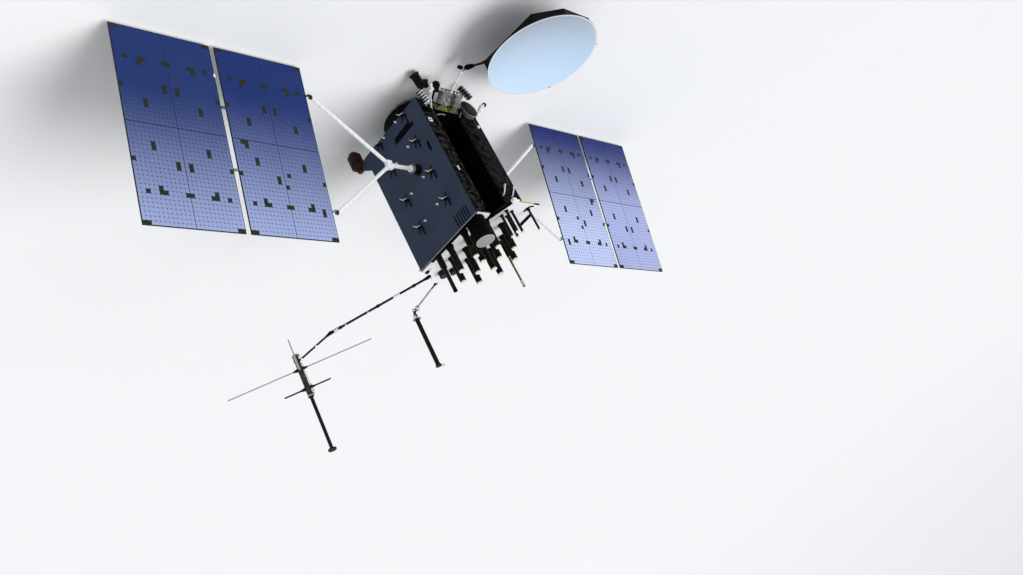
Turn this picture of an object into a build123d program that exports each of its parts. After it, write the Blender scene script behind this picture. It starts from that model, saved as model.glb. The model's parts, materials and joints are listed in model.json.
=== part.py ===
from build123d import *
import math
import os

os.makedirs("parts", exist_ok=True)

# All sizes are in millimetres. +Z points from the launch ring to the antenna deck, +Y to the left wing and
# +X to the open bay. The origin is the centre of the launch ring's aft face.

# Body
body_base_z = 560
body_length = 3280
body_top_z = body_base_z + body_length
radiator_half_width = 998
radiator_outer_y = 890
radiator_thickness = 40
radiator_inner_y = radiator_outer_y - radiator_thickness
aft_deck_thickness = 40
deck_set_back = 130
deck_top_z = body_top_z - deck_set_back
deck_thickness = 36
deck_bottom_z = deck_top_z - deck_thickness
core_back_x = -950
back_panel_thickness = 30
bay_floor_x = 360
bay_front_x = 985
bay_left_y = 470
bay_right_y = -290
bay_bulkhead_height = 300
aft_deck_top_z = body_base_z + aft_deck_thickness
column_edge_radius = 30
skin_gap = 0.3

# Launch ring and the drum that carries it
ring_radius = 607.5
ring_wall = 14
ring_flange_height = 20
ring_height = 80
drum_radius = 680
drum_wall = 30
drum_hoops_z = (130, 320, 520)
hoop_reach = 9
hoop_height = 26
engine_exit_radius = 190
engine_throat_radius = 45
engine_exit_z = 130
engine_wall = 8

# Solar wings: the wing axis is parallel to Y, and the panels are turned about it
wing_axis_x = 170
wing_axis_z = body_base_z + 1398
wing_turn = -14.39
panel_length = 3868
panel_width = 1959
panel_thickness = 25
panel_gap = 112
panel_start_y = 3561
drive_radius = 95
drive_length = 190
shaft_radius = 46
shaft_end_y = 1000
hub_y = 1724
hub_size = 150
hub_thickness = 84
arm_end_y = 3430
arm_half_spread = 1284
arm_radius = 40
arm_tip_length = 30
fold_pin_y = 3508
fold_pin_w = 45
fold_pin_radius = 8
pin_clearance = 0.3
tongue_thickness = 30
cheek_thickness = 12
cheek_gap = 1
wing_hinge_u = 645
wing_hinge_w = -25
wing_pin_radius = 6
wing_tongue = 24
wing_cheek = 10

# Dish and its boom
boom_foot = (bay_front_x, 0, body_base_z + 20)
boom_elbow = (1900, 0, 330)
dish_joint = (2545, 90, 800)
dish_centre = (3170, -1080, 930)
dish_tilt = -5.6
dish_radius = 1300
dish_depth = 150
dish_shell = 14
dish_rim_radius = 12
cover_depth = 215
tray_wall = 16
tray_floor = 12
cover_long = (780, 1070)
cover_wide = (1190, 430)
boom_radius = 24

# Antenna farm on the deck
helix_height = 670
inner_ring_count = 4
outer_ring_count = 8
helix_centre = (0, -50)
helix_radius = 70
helix_cap_radius = 64
helix_cap_height = 24
helix_foot_radius = 92
helix_foot_height = 18
helix_cup_height = 85
inner_ring_radius = 283
outer_ring_radius = 665

# Crossed-dipole boom (boom A) lies in the vertical plane through its root, turned 45 degrees
boom_a_root = (-1395, 295, deck_top_z - 34)
boom_a_turn = 135
boom_a_elbow = (2440, 310)
boom_a_head = (3310, 640)
boom_a_radius = 26
head_low_z = 380
head_high_z = 1510
head_mast_top_z = 2770
head_mast_cap = 30
collar_shares = (0.13, 0.5, 0.88)
collar_length = 70
collar_reach = 10

# Rod boom (boom B)
boom_b_root = (-1575, -120, deck_top_z - 50)
boom_b_elbow = (-2520, -120, deck_top_z + 60)
boom_b_radius = 18
rod_radius = 52
rod_length = 1370


def unit_plane(start, end):
    """Plane at start whose normal runs towards end."""
    direction = Vector(*end) - Vector(*start)
    return Plane(origin=start, z_dir=direction)


def rod(start, end, radius, mode=Mode.ADD):
    """Round bar between two points."""
    length = (Vector(*end) - Vector(*start)).length
    with BuildSketch(unit_plane(start, end)) as disc:
        Circle(radius)
    extrude(disc.sketch, amount=length, mode=mode)


def save(piece, name):
    """Label a finished piece and write it."""
    piece.part.label = name
    export_step(piece.part, f"parts/{name}.step")


# Launch ring: a stiff drum under the aft deck that narrows to the flange of the launch ring
with BuildPart() as launch_ring:
    with BuildSketch(Plane.XZ):
        with BuildLine():
            Polyline(
                (ring_radius - ring_wall - 20, 0),
                (ring_radius, 0),
                (ring_radius, ring_flange_height),
                (ring_radius - 10, ring_flange_height + 8),
                (ring_radius - 10, ring_height - 12),
                (drum_radius, ring_height + 30),
                (drum_radius, body_base_z),
                (drum_radius - drum_wall, body_base_z),
                (drum_radius - drum_wall, ring_height + 40),
                (ring_radius - 10 - ring_wall, ring_height),
                (ring_radius - 10 - ring_wall, ring_flange_height + 8),
                (ring_radius - ring_wall - 20, ring_flange_height),
                close=True,
            )
        make_face()
    revolve(axis=Axis.Z)
    for hoop_z in drum_hoops_z:
        with BuildSketch(Plane.XY.offset(hoop_z)):
            Circle(drum_radius + hoop_reach)
            Circle(drum_radius - drum_wall / 2, mode=Mode.SUBTRACT)
        extrude(amount=hoop_height)
save(launch_ring, "launch_ring")

# Main engine: a bell nozzle that hangs from the aft deck inside the ring
with BuildPart() as main_engine:
    throat_z = body_base_z - 130
    with BuildSketch(Plane.XZ):
        with BuildLine():
            bell = ThreePointArc(
                (engine_exit_radius, engine_exit_z),
                (engine_exit_radius * 0.72, engine_exit_z + 110),
                (engine_throat_radius, throat_z),
            )
            Line(bell @ 1, (engine_throat_radius + 35, body_base_z - 60))
            Line((engine_throat_radius + 35, body_base_z - 60), (engine_throat_radius + 35, body_base_z))
            Line((engine_throat_radius + 35, body_base_z), (0, body_base_z))
            Line((0, body_base_z), (0, throat_z))
            Line((0, throat_z), (engine_throat_radius - engine_wall, throat_z))
            inner_bell = ThreePointArc(
                (engine_throat_radius - engine_wall, throat_z),
                (engine_exit_radius * 0.72 - engine_wall, engine_exit_z + 108),
                (engine_exit_radius - engine_wall, engine_exit_z),
            )
            Line(inner_bell @ 1, bell @ 0)
        make_face()
    revolve(axis=Axis.Z)
save(main_engine, "main_engine")

# Body: core block, the two columns beside the open bay, and the bulkhead at the bay's aft end
with BuildPart() as body_core:
    with BuildSketch(Plane.XY.offset(aft_deck_top_z)):
        with Locations(((core_back_x + bay_floor_x) / 2, 0)):
            Rectangle(bay_floor_x - core_back_x, 2 * radiator_inner_y)
    extrude(amount=deck_bottom_z - aft_deck_top_z)
    with BuildSketch(Plane.XY.offset(aft_deck_top_z)):
        with Locations(((bay_floor_x + bay_front_x) / 2, (bay_left_y + bay_right_y) / 2)):
            Rectangle(bay_front_x - bay_floor_x, bay_left_y - bay_right_y)
    extrude(amount=bay_bulkhead_height)
save(body_core, "body_core")

column_rows = (
    # name, low y, high y
    ("left_column", bay_left_y, radiator_inner_y),
    ("right_column", -radiator_inner_y, bay_right_y),
)
for name, low_y, high_y in column_rows:
    with BuildPart() as column:
        with BuildSketch(Plane.XY.offset(aft_deck_top_z)):
            with Locations(((bay_floor_x + bay_front_x) / 2, (low_y + high_y) / 2)):
                Rectangle(bay_front_x - bay_floor_x, high_y - low_y)
        extrude(amount=deck_bottom_z - aft_deck_top_z)
        front_edges = column.edges().filter_by(Axis.Z).group_by(Axis.X)[-1]
        fillet(front_edges, column_edge_radius)
    save(column, name)

with BuildPart() as aft_deck:
    with BuildSketch(Plane.XY.offset(body_base_z)):
        with Locations(((core_back_x + bay_front_x) / 2, 0)):
            Rectangle(bay_front_x - core_back_x, 2 * radiator_inner_y)
    extrude(amount=aft_deck_thickness)
save(aft_deck, "aft_deck")

with BuildPart() as back_panel:
    with BuildSketch(Plane.XY.offset(body_base_z)):
        with Locations((core_back_x - back_panel_thickness / 2, 0)):
            Rectangle(back_panel_thickness, 2 * radiator_inner_y)
    extrude(amount=deck_bottom_z - body_base_z)
save(back_panel, "back_panel")

# Radiators: slabs with a long slot, a narrow slit and a block of louvre slots near their top end. The left one
# is longer and carries a tab for the side sensor at its aft corner.
louvre_count = 6
louvre_low_x = 450
louvre_pitch = 76
louvre_length = 320
louvre_top_gap = 35
louvre_width = 34
pocket_depth = 12
slot_centre = (290, body_base_z + 430)
slot_size = (700, 95)
slit_centre = (740, body_base_z + 1190)
slit_size = (50, 290)
tab_outline = (
    # x, height above the aft edge
    (-radiator_half_width + 10, 5),
    (-1180, 5),
    (-1240, 200),
    (-1050, 350),
    (-radiator_half_width + 10, 370),
)


def radiator(top_z):
    """Slab on the left side of the body from its aft edge to top_z, with its pockets."""
    with BuildSketch(Plane.XZ.offset(-radiator_outer_y)) as slab:
        with Locations((0, (body_base_z + top_z) / 2)):
            Rectangle(2 * radiator_half_width, top_z - body_base_z)
    extrude(slab.sketch, amount=radiator_thickness)
    with BuildSketch(Plane.XZ.offset(-radiator_outer_y)) as pockets:
        with Locations(slot_centre):
            Rectangle(*slot_size)
        with Locations(slit_centre):
            Rectangle(*slit_size)
        for index in range(louvre_count):
            louvre_z = top_z - louvre_top_gap - louvre_length / 2
            with Locations((louvre_low_x + index * louvre_pitch, louvre_z)):
                SlotOverall(louvre_length, louvre_width, rotation=90)
    extrude(pockets.sketch, amount=pocket_depth, mode=Mode.SUBTRACT)


# Side sensor beyond the left back corner: a wrapped can with stepped ends, on a block of the back panel
sensor_centre = (-1300, 900, 460)
sensor_radius = 165
sensor_height = 400
sensor_profile = (
    # radius, height from the middle
    (95, -sensor_height / 2 - 60),
    (120, -sensor_height / 2 - 20),
    (sensor_radius, -sensor_height / 2 + 40),
    (sensor_radius, sensor_height / 2 - 60),
    (110, sensor_height / 2),
    (70, sensor_height / 2 + 10),
    (70, sensor_height / 2 + 90),
)
sensor_block = (250, 120, 170)
with BuildPart() as side_sensor:
    block_back_x = core_back_x - back_panel_thickness
    with BuildSketch(Plane.XY.offset(body_base_z + 5)):
        with Locations((block_back_x - sensor_block[0] / 2, radiator_inner_y - 5 - sensor_block[1] / 2)):
            Rectangle(sensor_block[0], sensor_block[1])
    extrude(amount=sensor_block[2])
    with BuildSketch(Plane(origin=sensor_centre, x_dir=(1, 0, 0), z_dir=(0, -1, 0))):
        with BuildLine():
            Polyline((0, sensor_profile[0][1]), *sensor_profile, (0, sensor_profile[-1][1]), close=True)
        make_face()
    revolve(axis=Axis(sensor_centre, (0, 0, 1)))
save(side_sensor, "side_sensor")

with BuildPart() as left_radiator:
    radiator(body_top_z)
    with BuildSketch(Plane.XZ.offset(-radiator_outer_y)):
        with BuildLine():
            Polyline(*((x, body_base_z + z) for x, z in tab_outline), close=True)
        make_face()
    extrude(amount=radiator_thickness)
    add(side_sensor.part, mode=Mode.SUBTRACT)
save(left_radiator, "left_radiator")

with BuildPart() as right_radiator:
    radiator(deck_bottom_z)
    mirror(about=Plane.XZ, mode=Mode.REPLACE)
save(right_radiator, "right_radiator")

# Hold-downs for the stowed panels: four rows in two columns on each radiator, each a cone on four flat feet
cone_columns_x = (-500, 460)
cone_rows_z = (0, 770, 1645, 2405)
cone_base_radius = 42
cone_top_radius = 20
cone_height = 95
foot_reach = 150
foot_width = 30
foot_height = 14
foot_first_angle = 60
for side, name in ((1, "left_holddowns"), (-1, "right_holddowns")):
    with BuildPart() as holddowns:
        for cone_x in cone_columns_x:
            for cone_z in cone_rows_z:
                base_z = body_base_z + cone_z + cone_base_radius * 1.5
                start = (cone_x, side * radiator_outer_y, base_z)
                end = (cone_x, side * (radiator_outer_y + 1), base_z)
                seat = Plane(origin=start, x_dir=(1, 0, 0), z_dir=(0, side, 0))
                with Locations(unit_plane(start, end).location):
                    Cone(
                        cone_base_radius,
                        cone_top_radius,
                        cone_height,
                        align=(Align.CENTER, Align.CENTER, Align.MIN),
                    )
                with BuildSketch(seat):
                    with PolarLocations(foot_reach / 2, 4, start_angle=foot_first_angle):
                        Rectangle(foot_reach, foot_width)
                extrude(amount=foot_height)
        with BuildSketch(Plane.XY.offset(body_base_z)):
            with Locations((0, side * radiator_outer_y)):
                Rectangle(2 * radiator_half_width, 4 * cone_height)
        extrude(amount=-foot_reach, mode=Mode.SUBTRACT)
    save(holddowns, name)

# Antenna deck: a flat plate that reaches past both sides of the body
deck_outline = (
    # x, y
    (-990, 848),
    (900, 848),
    (900, 300),
    (700, 260),
    (1070, 140),
    (1250, 20),
    (1360, 20),
    (1360, -848),
    (-1040, -848),
    (-1240, -450),
    (-1340, -280),
    (-1500, -210),
    (-1520, -20),
    (-1460, 130),
    (-1260, 310),
    (-1190, 610),
)
with BuildPart() as antenna_deck:
    with BuildSketch(Plane.XY.offset(deck_bottom_z)):
        with BuildLine():
            Polyline(*deck_outline, close=True)
        make_face()
    extrude(amount=deck_thickness)
save(antenna_deck, "antenna_deck")

# Twelve helix antennas: an inner ring of four and an outer ring of eight
helix_rows = (
    # ring radius, count, first angle
    (inner_ring_radius, inner_ring_count, -22.5),
    (outer_ring_radius, outer_ring_count, 22.5),
)
cap_base_z = deck_top_z + helix_height - helix_cap_height
with BuildPart() as helix_bodies:
    for ring, count, first_angle in helix_rows:
        with BuildSketch(Plane.XY.offset(deck_top_z)):
            with Locations(helix_centre), PolarLocations(ring, count, start_angle=first_angle):
                Circle(helix_foot_radius)
        extrude(amount=helix_foot_height)
        with Locations((*helix_centre, deck_top_z + helix_foot_height)):
            with PolarLocations(ring, count, start_angle=first_angle):
                Cone(
                    helix_foot_radius,
                    helix_radius,
                    helix_cup_height,
                    align=(Align.CENTER, Align.CENTER, Align.MIN),
                )
        with BuildSketch(Plane.XY.offset(deck_top_z + helix_foot_height)):
            with Locations(helix_centre), PolarLocations(ring, count, start_angle=first_angle):
                Circle(helix_radius)
        extrude(amount=helix_height - helix_foot_height - helix_cap_height)
save(helix_bodies, "helix_bodies")

# Receiver can: the wide black can with a flat pale lid
can_place = (640, 555)
can_radius = 210
can_height = 545
lid_height = 20
with BuildPart() as receiver_can:
    with BuildSketch(Plane.XY.offset(deck_top_z)):
        with Locations(can_place):
            Circle(can_radius)
    extrude(amount=can_height)
save(receiver_can, "receiver_can")

# Deck masts: each a foot and a rod, with two low drums near the deck's back edge and a sleeve on one mast
mast_rows = (
    # x, y, height, rod radius, tip radius, tip height
    (1050, -60, 560, 30, 40, 22),
    (1050, -230, 560, 30, 40, 22),
    (885, -60, 560, 30, 40, 22),
    (885, -230, 560, 30, 40, 22),
    (1175, -660, 550, 26, 38, 24),
    (-600, 620, 920, 44, 44, 10),
)
drum_rows = (
    # x, y, radius, height
    (-1110, 100, 100, 130),
    (-1010, -130, 80, 110),
    (-600, 620, 72, 330),
)
with BuildPart() as deck_masts:
    for drum_x, drum_y, radius, height in drum_rows:
        rod((drum_x, drum_y, deck_top_z), (drum_x, drum_y, deck_top_z + height), radius)
    for mast_x, mast_y, height, rod_size, tip_size, tip_height in mast_rows:
        foot = (mast_x, mast_y, deck_top_z)
        neck = (mast_x, mast_y, deck_top_z + height)
        rod(foot, (mast_x, mast_y, deck_top_z + 14), rod_size + 16)
        rod(foot, neck, rod_size)
save(deck_masts, "deck_masts")

# Pale caps of the helices, the can and the masts
with BuildPart() as antenna_caps:
    for ring, count, first_angle in helix_rows:
        with BuildSketch(Plane.XY.offset(cap_base_z)):
            with Locations(helix_centre), PolarLocations(ring, count, start_angle=first_angle):
                Circle(helix_cap_radius)
        extrude(amount=helix_cap_height)
    with BuildSketch(Plane.XY.offset(deck_top_z + can_height)):
        with Locations(can_place):
            Circle(can_radius - 4)
    extrude(amount=lid_height)
    for mast_x, mast_y, height, rod_size, tip_size, tip_height in mast_rows:
        neck = (mast_x, mast_y, deck_top_z + height)
        rod(neck, (mast_x, mast_y, deck_top_z + height + tip_height), tip_size)
save(antenna_caps, "antenna_caps")

gold_mast_place = (80, -745)
gold_mast_height = 1120
with BuildPart() as gold_mast:
    foot = (*gold_mast_place, deck_top_z)
    neck = (*gold_mast_place, deck_top_z + gold_mast_height)
    rod(foot, (*gold_mast_place, deck_top_z + 30), 48)
    rod(foot, neck, 24)
    rod(neck, (*gold_mast_place, deck_top_z + gold_mast_height + 130), 32)
save(gold_mast, "gold_mast")

# Wing frame: u runs along the panels' long side, v outwards along Y and w out of the cell face
wing_angle = math.radians(wing_turn)
wing_u = Vector(-math.sin(wing_angle), 0, -math.cos(wing_angle))
wing_w = Vector(math.cos(wing_angle), 0, -math.sin(wing_angle))


def wing_at(u, v, w, side):
    """World point of wing coordinates on one side of the body."""
    return Vector(wing_axis_x, 0, wing_axis_z) + wing_u * u + Vector(0, side * v, 0) + wing_w * w


def wing_section(u, side):
    """Plane across the hinge axis at u, with its x to the wing's tip and its y out of the cell face."""
    return Plane(origin=wing_at(u, 0, 0, side), x_dir=Vector(0, side, 0), z_dir=wing_u * side)


def hinge_leaf(section, edge_v, reach, pin_v, pin_w, eye, bore, thickness):
    """One leaf of a hinge: a hull from a panel's edge to an eye round the pin, centred on the section."""
    with BuildSketch(section.offset(-thickness / 2)) as profile:
        with Locations((edge_v + reach / 2, 0)):
            Rectangle(abs(reach), panel_thickness)
        with Locations((pin_v, pin_w)):
            Circle(eye)
        make_hull()
        if bore:
            with Locations((pin_v, pin_w)):
                Circle(bore, mode=Mode.SUBTRACT)
    extrude(profile.sketch, amount=thickness)


inner_edge_v = panel_start_y
inner_far_v = panel_start_y + panel_width
outer_edge_v = inner_far_v + panel_gap
wing_pin_v = inner_far_v + panel_gap / 2
fold_eye = 16
wing_eye = 12

for side, side_name in ((1, "left"), (-1, "right")):
    wing_plane = Plane(origin=wing_at(0, 0, 0, side), x_dir=Vector(0, side, 0), z_dir=wing_w)

    # Drive housing on the radiator
    with BuildPart() as drive:
        start = (wing_axis_x, side * radiator_outer_y, wing_axis_z)
        end = (wing_axis_x, side * (radiator_outer_y + drive_length), wing_axis_z)
        bore_start = (wing_axis_x, side * (shaft_end_y - 6), wing_axis_z)
        rod(start, (wing_axis_x, side * (radiator_outer_y + 20), wing_axis_z), drive_radius + 35)
        rod(start, end, drive_radius)
        rod(bore_start, end, shaft_radius + pin_clearance, mode=Mode.SUBTRACT)
    save(drive, f"{side_name}_drive")

    # Yoke hub with the shaft that turns in the drive
    with BuildPart() as yoke_hub:
        rod(wing_at(0, shaft_end_y, 0, side), wing_at(0, hub_y, 0, side), shaft_radius)
        rod(
            wing_at(0, radiator_outer_y + drive_length + 6, 0, side),
            wing_at(0, radiator_outer_y + drive_length + 46, 0, side),
            drive_radius - 20,
        )
        with BuildSketch(wing_plane.offset(-hub_thickness / 2)):
            with Locations((hub_y, 0)):
                Rectangle(hub_size, hub_size * 1.3)
        extrude(amount=hub_thickness)

    # Two arms that spread from the hub to the inner panel's edge
    with BuildPart() as yoke_arms:
        for end_sign in (1, -1):
            rod(
                wing_at(end_sign * arm_half_spread * 0.06, hub_y + hub_size / 2, 0, side),
                wing_at(end_sign * arm_half_spread * 1.03, arm_end_y + 40, 0, side),
                arm_radius,
            )
        with BuildSketch(wing_plane.offset(-hub_size)):
            with Locations((arm_end_y + 100, 0)):
                Rectangle(200, 2 * panel_length)
        extrude(amount=2 * hub_size, mode=Mode.SUBTRACT)
        add(yoke_hub.part, mode=Mode.SUBTRACT)
    save(yoke_arms, f"{side_name}_yoke_arms")

    # Hub and forked tips on the arms, with the pins of the fold hinge
    with BuildPart() as yoke_fittings:
        add(yoke_hub.part)
        for end_sign in (1, -1):
            tip_u = end_sign * arm_half_spread
            for cheek_sign in (1, -1):
                cheek_u = tip_u + cheek_sign * (tongue_thickness / 2 + cheek_gap + cheek_thickness / 2)
                hinge_leaf(
                    wing_section(cheek_u, side),
                    arm_end_y + 4,
                    36,
                    fold_pin_y,
                    fold_pin_w,
                    fold_eye,
                    0,
                    cheek_thickness,
                )
            half_width = tongue_thickness / 2 + cheek_gap + cheek_thickness
            rod(
                wing_at(tip_u - half_width, fold_pin_y, fold_pin_w, side),
                wing_at(tip_u + half_width, fold_pin_y, fold_pin_w, side),
                fold_pin_radius,
            )
            tip_end = wing_at(tip_u, arm_end_y + arm_tip_length, 0, side)
            rod(wing_at(tip_u, arm_end_y, 0, side), tip_end, arm_radius + 4)
    save(yoke_fittings, f"{side_name}_yoke_fittings")

    # Inner panel with its fold tongues and the cheeks of the panel hinge
    with BuildPart() as inner_panel:
        with BuildSketch(wing_plane.offset(-panel_thickness / 2)):
            with Locations((inner_edge_v + panel_width / 2, 0)):
                Rectangle(panel_width, panel_length)
        extrude(amount=panel_thickness)
        for end_sign in (1, -1):
            hinge_leaf(
                wing_section(end_sign * arm_half_spread, side),
                inner_edge_v,
                40,
                fold_pin_y,
                fold_pin_w,
                fold_eye,
                fold_pin_radius + pin_clearance,
                tongue_thickness,
            )
            hinge_u = end_sign * wing_hinge_u
            for cheek_sign in (1, -1):
                cheek_u = hinge_u + cheek_sign * (wing_tongue / 2 + cheek_gap + wing_cheek / 2)
                hinge_leaf(
                    wing_section(cheek_u, side),
                    inner_far_v,
                    -30,
                    wing_pin_v,
                    wing_hinge_w,
                    wing_eye,
                    0,
                    wing_cheek,
                )
            pin_half = wing_tongue / 2 + cheek_gap + wing_cheek
            rod(
                wing_at(hinge_u - pin_half, wing_pin_v, wing_hinge_w, side),
                wing_at(hinge_u + pin_half, wing_pin_v, wing_hinge_w, side),
                wing_pin_radius,
            )
    save(inner_panel, f"{side_name}_inner_panel")

    # Outer panel with the tongues of the panel hinge
    with BuildPart() as outer_panel:
        with BuildSketch(wing_plane.offset(-panel_thickness / 2)):
            with Locations((outer_edge_v + panel_width / 2, 0)):
                Rectangle(panel_width, panel_length)
        extrude(amount=panel_thickness)
        for end_sign in (1, -1):
            hinge_leaf(
                wing_section(end_sign * wing_hinge_u, side),
                outer_edge_v,
                30,
                wing_pin_v,
                wing_hinge_w,
                wing_eye,
                wing_pin_radius + pin_clearance,
                wing_tongue,
            )
    save(outer_panel, f"{side_name}_outer_panel")

# Dish boom: a fixed link from the aft end of the body, with a fork for the elbow pin at its end
elbow_eye = 44
elbow_pin = 16
elbow_tongue = 44
elbow_cheek = 18
elbow_half = elbow_tongue / 2 + cheek_gap + elbow_cheek
link_unit = (Vector(*boom_elbow) - Vector(*boom_foot)).normalized()
with BuildPart() as dish_link:
    rod(boom_foot, tuple(Vector(*boom_elbow) - link_unit * 90), boom_radius)
    for cheek_sign in (1, -1):
        cheek_y = boom_elbow[1] + cheek_sign * (elbow_tongue / 2 + cheek_gap + elbow_cheek / 2)
        with BuildSketch(Plane.XZ.offset(-(cheek_y + elbow_cheek / 2))):
            with Locations((boom_elbow[0], boom_elbow[2])):
                Circle(elbow_eye)
            with Locations((boom_elbow[0] - link_unit.X * 100, boom_elbow[2] - link_unit.Z * 100)):
                Circle(boom_radius)
            make_hull()
        extrude(amount=elbow_cheek)
    rod(
        (boom_elbow[0], boom_elbow[1] - elbow_half - 14, boom_elbow[2]),
        (boom_elbow[0], boom_elbow[1] + elbow_half + 14, boom_elbow[2]),
        elbow_pin,
    )
    block_centre = Vector(*boom_elbow) - link_unit * 100
    with BuildSketch(unit_plane(tuple(block_centre - link_unit * 20), tuple(block_centre))):
        Circle(elbow_half)
    extrude(amount=36)
    with BuildSketch(Plane.YZ.offset(bay_front_x)):
        with Locations((0, body_base_z + 20)):
            Rectangle(150, 60)
    extrude(amount=14)
    with BuildSketch(Plane.YZ.offset(bay_front_x)):
        with Locations((0, body_base_z)):
            Rectangle(200, 400)
    extrude(amount=-200, mode=Mode.SUBTRACT)
save(dish_link, "dish_link")

# Dish arm: from the elbow pin to the fork under the dish's edge
arm_unit = (Vector(*dish_joint) - Vector(*boom_elbow)).normalized()
joint_eye = 34
joint_pin = 12
joint_tongue = 30
joint_cheek = 12
joint_half = joint_tongue / 2 + cheek_gap + joint_cheek


def fork(section_at, pin, back, plug):
    """Two cheeks with a pin, closed by a round block behind them."""
    for cheek_sign in (1, -1):
        across = cheek_sign * (joint_tongue / 2 + cheek_gap + joint_cheek / 2)
        with BuildSketch(section_at(across).offset(-joint_cheek / 2)) as cheek:
            with Locations(pin):
                Circle(joint_eye)
            with Locations(back):
                Circle(plug)
            make_hull()
        extrude(cheek.sketch, amount=joint_cheek)
    middle = section_at(0)
    with BuildSketch(middle.offset(-joint_half - 8)) as pin_disc:
        with Locations(pin):
            Circle(joint_pin)
    extrude(pin_disc.sketch, amount=2 * (joint_half + 8))
    with BuildSketch(middle.offset(-joint_half)) as block:
        with Locations(back):
            Circle(plug)
    extrude(block.sketch, amount=2 * joint_half)


def tongue(section_at, pin, back, plug):
    """A single leaf with an eye that turns on a fork's pin."""
    with BuildSketch(section_at(0).offset(-joint_tongue / 2)) as leaf:
        with Locations(pin):
            Circle(joint_eye)
        with Locations(back):
            Circle(plug)
        make_hull()
        with Locations(pin):
            Circle(joint_pin + pin_clearance, mode=Mode.SUBTRACT)
    extrude(leaf.sketch, amount=joint_tongue)


def dish_section_at(across):
    """Vertical plane through the dish joint, with its normal along -Y."""
    return Plane.XZ.offset(-(dish_joint[1] + across))


with BuildPart() as dish_arm:
    with BuildSketch(Plane.XZ.offset(-(boom_elbow[1] + elbow_tongue / 2))):
        with Locations((boom_elbow[0], boom_elbow[2])):
            Circle(elbow_eye)
        with Locations((boom_elbow[0] + arm_unit.X * 110, boom_elbow[2] + arm_unit.Z * 110)):
            Circle(boom_radius)
        make_hull()
        with Locations((boom_elbow[0], boom_elbow[2])):
            Circle(elbow_pin + pin_clearance, mode=Mode.SUBTRACT)
    extrude(amount=elbow_tongue)
    arm_back = Vector(*dish_joint) - arm_unit * 100
    rod(tuple(Vector(*boom_elbow) + arm_unit * 80), tuple(arm_back + arm_unit * 20), boom_radius)
    fork(dish_section_at, (dish_joint[0], dish_joint[2]), (arm_back.X, arm_back.Z), 28)
save(dish_arm, "dish_arm")

# Dish, built round its own centre: a shallow bowl with a rolled rim, an eight-sided tray and a bracket
dish_turn = math.radians(dish_tilt)
dish_place = Plane(
    origin=dish_centre,
    x_dir=Vector(math.cos(dish_turn), 0, -math.sin(dish_turn)),
    z_dir=Vector(math.sin(dish_turn), 0, math.cos(dish_turn)),
)
bowl_rim = dish_radius - 2 * dish_rim_radius
bowl_sphere = (bowl_rim**2 + dish_depth**2) / (2 * dish_depth)
bowl_mid = bowl_rim * 0.55
mid_depth = dish_depth - bowl_sphere + math.sqrt(bowl_sphere**2 - bowl_mid**2)
with BuildPart() as bowl:
    with BuildSketch(Plane.XZ):
        with BuildLine():
            ThreePointArc((0, -dish_depth), (bowl_mid, -mid_depth), (bowl_rim, 0))
            Line((bowl_rim, 0), (dish_radius, 0))
            Line((dish_radius, 0), (dish_radius, -dish_shell - 10))
            Line((dish_radius, -dish_shell - 10), (bowl_rim, -dish_shell - 10))
            Line((bowl_rim, -dish_shell - 10), (bowl_rim, -dish_shell))
            ThreePointArc(
                (bowl_rim, -dish_shell),
                (bowl_mid, -mid_depth - dish_shell),
                (0, -dish_depth - dish_shell),
            )
            Line((0, -dish_depth - dish_shell), (0, -dish_depth))
        make_face()
    revolve(axis=Axis.Z)
with BuildPart() as dish_reflector:
    with Locations(dish_place.location):
        add(bowl.part)
save(dish_reflector, "dish_reflector")

# Space in front of the bowl's back, taken from the pieces that seat on it
with BuildPart() as bowl_space:
    with BuildSketch(Plane.XZ):
        with BuildLine():
            Line((0, 60), (0, -dish_depth - dish_shell - skin_gap))
            ThreePointArc(
                (0, -dish_depth - dish_shell - skin_gap),
                (bowl_mid, -mid_depth - dish_shell - skin_gap),
                (bowl_rim, -dish_shell - skin_gap),
            )
            Line((bowl_rim, -dish_shell - skin_gap), (bowl_rim, -dish_shell - 10 - skin_gap))
            Line((bowl_rim, -dish_shell - 10 - skin_gap), (dish_radius + 10, -dish_shell - 10 - skin_gap))
            Line((dish_radius + 10, -dish_shell - 10 - skin_gap), (dish_radius + 10, 60))
            Line((dish_radius + 10, 60), (0, 60))
        make_face()
    revolve(axis=Axis.Z)

tray_corners = (
    (cover_long[0], cover_long[1]),
    (cover_wide[0], cover_wide[1]),
    (cover_wide[0], -cover_wide[1]),
    (cover_long[0], -cover_long[1]),
    (-cover_long[0], -cover_long[1]),
    (-cover_wide[0], -cover_wide[1]),
    (-cover_wide[0], cover_wide[1]),
    (-cover_long[0], cover_long[1]),
)
with BuildPart() as tray:
    with BuildSketch(Plane.XY.offset(-cover_depth)):
        with BuildLine():
            Polyline(*tray_corners, close=True)
        make_face()
    extrude(amount=cover_depth)
    with BuildSketch(Plane.XY.offset(-cover_depth + tray_floor)):
        with BuildLine():
            Polyline(*tray_corners, close=True)
        make_face()
        offset(amount=-tray_wall, mode=Mode.REPLACE)
    extrude(amount=cover_depth, mode=Mode.SUBTRACT)
    add(bowl_space.part, mode=Mode.SUBTRACT)
with BuildPart() as dish_cover:
    with Locations(dish_place.location):
        add(tray.part)
save(dish_cover, "dish_cover")

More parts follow.
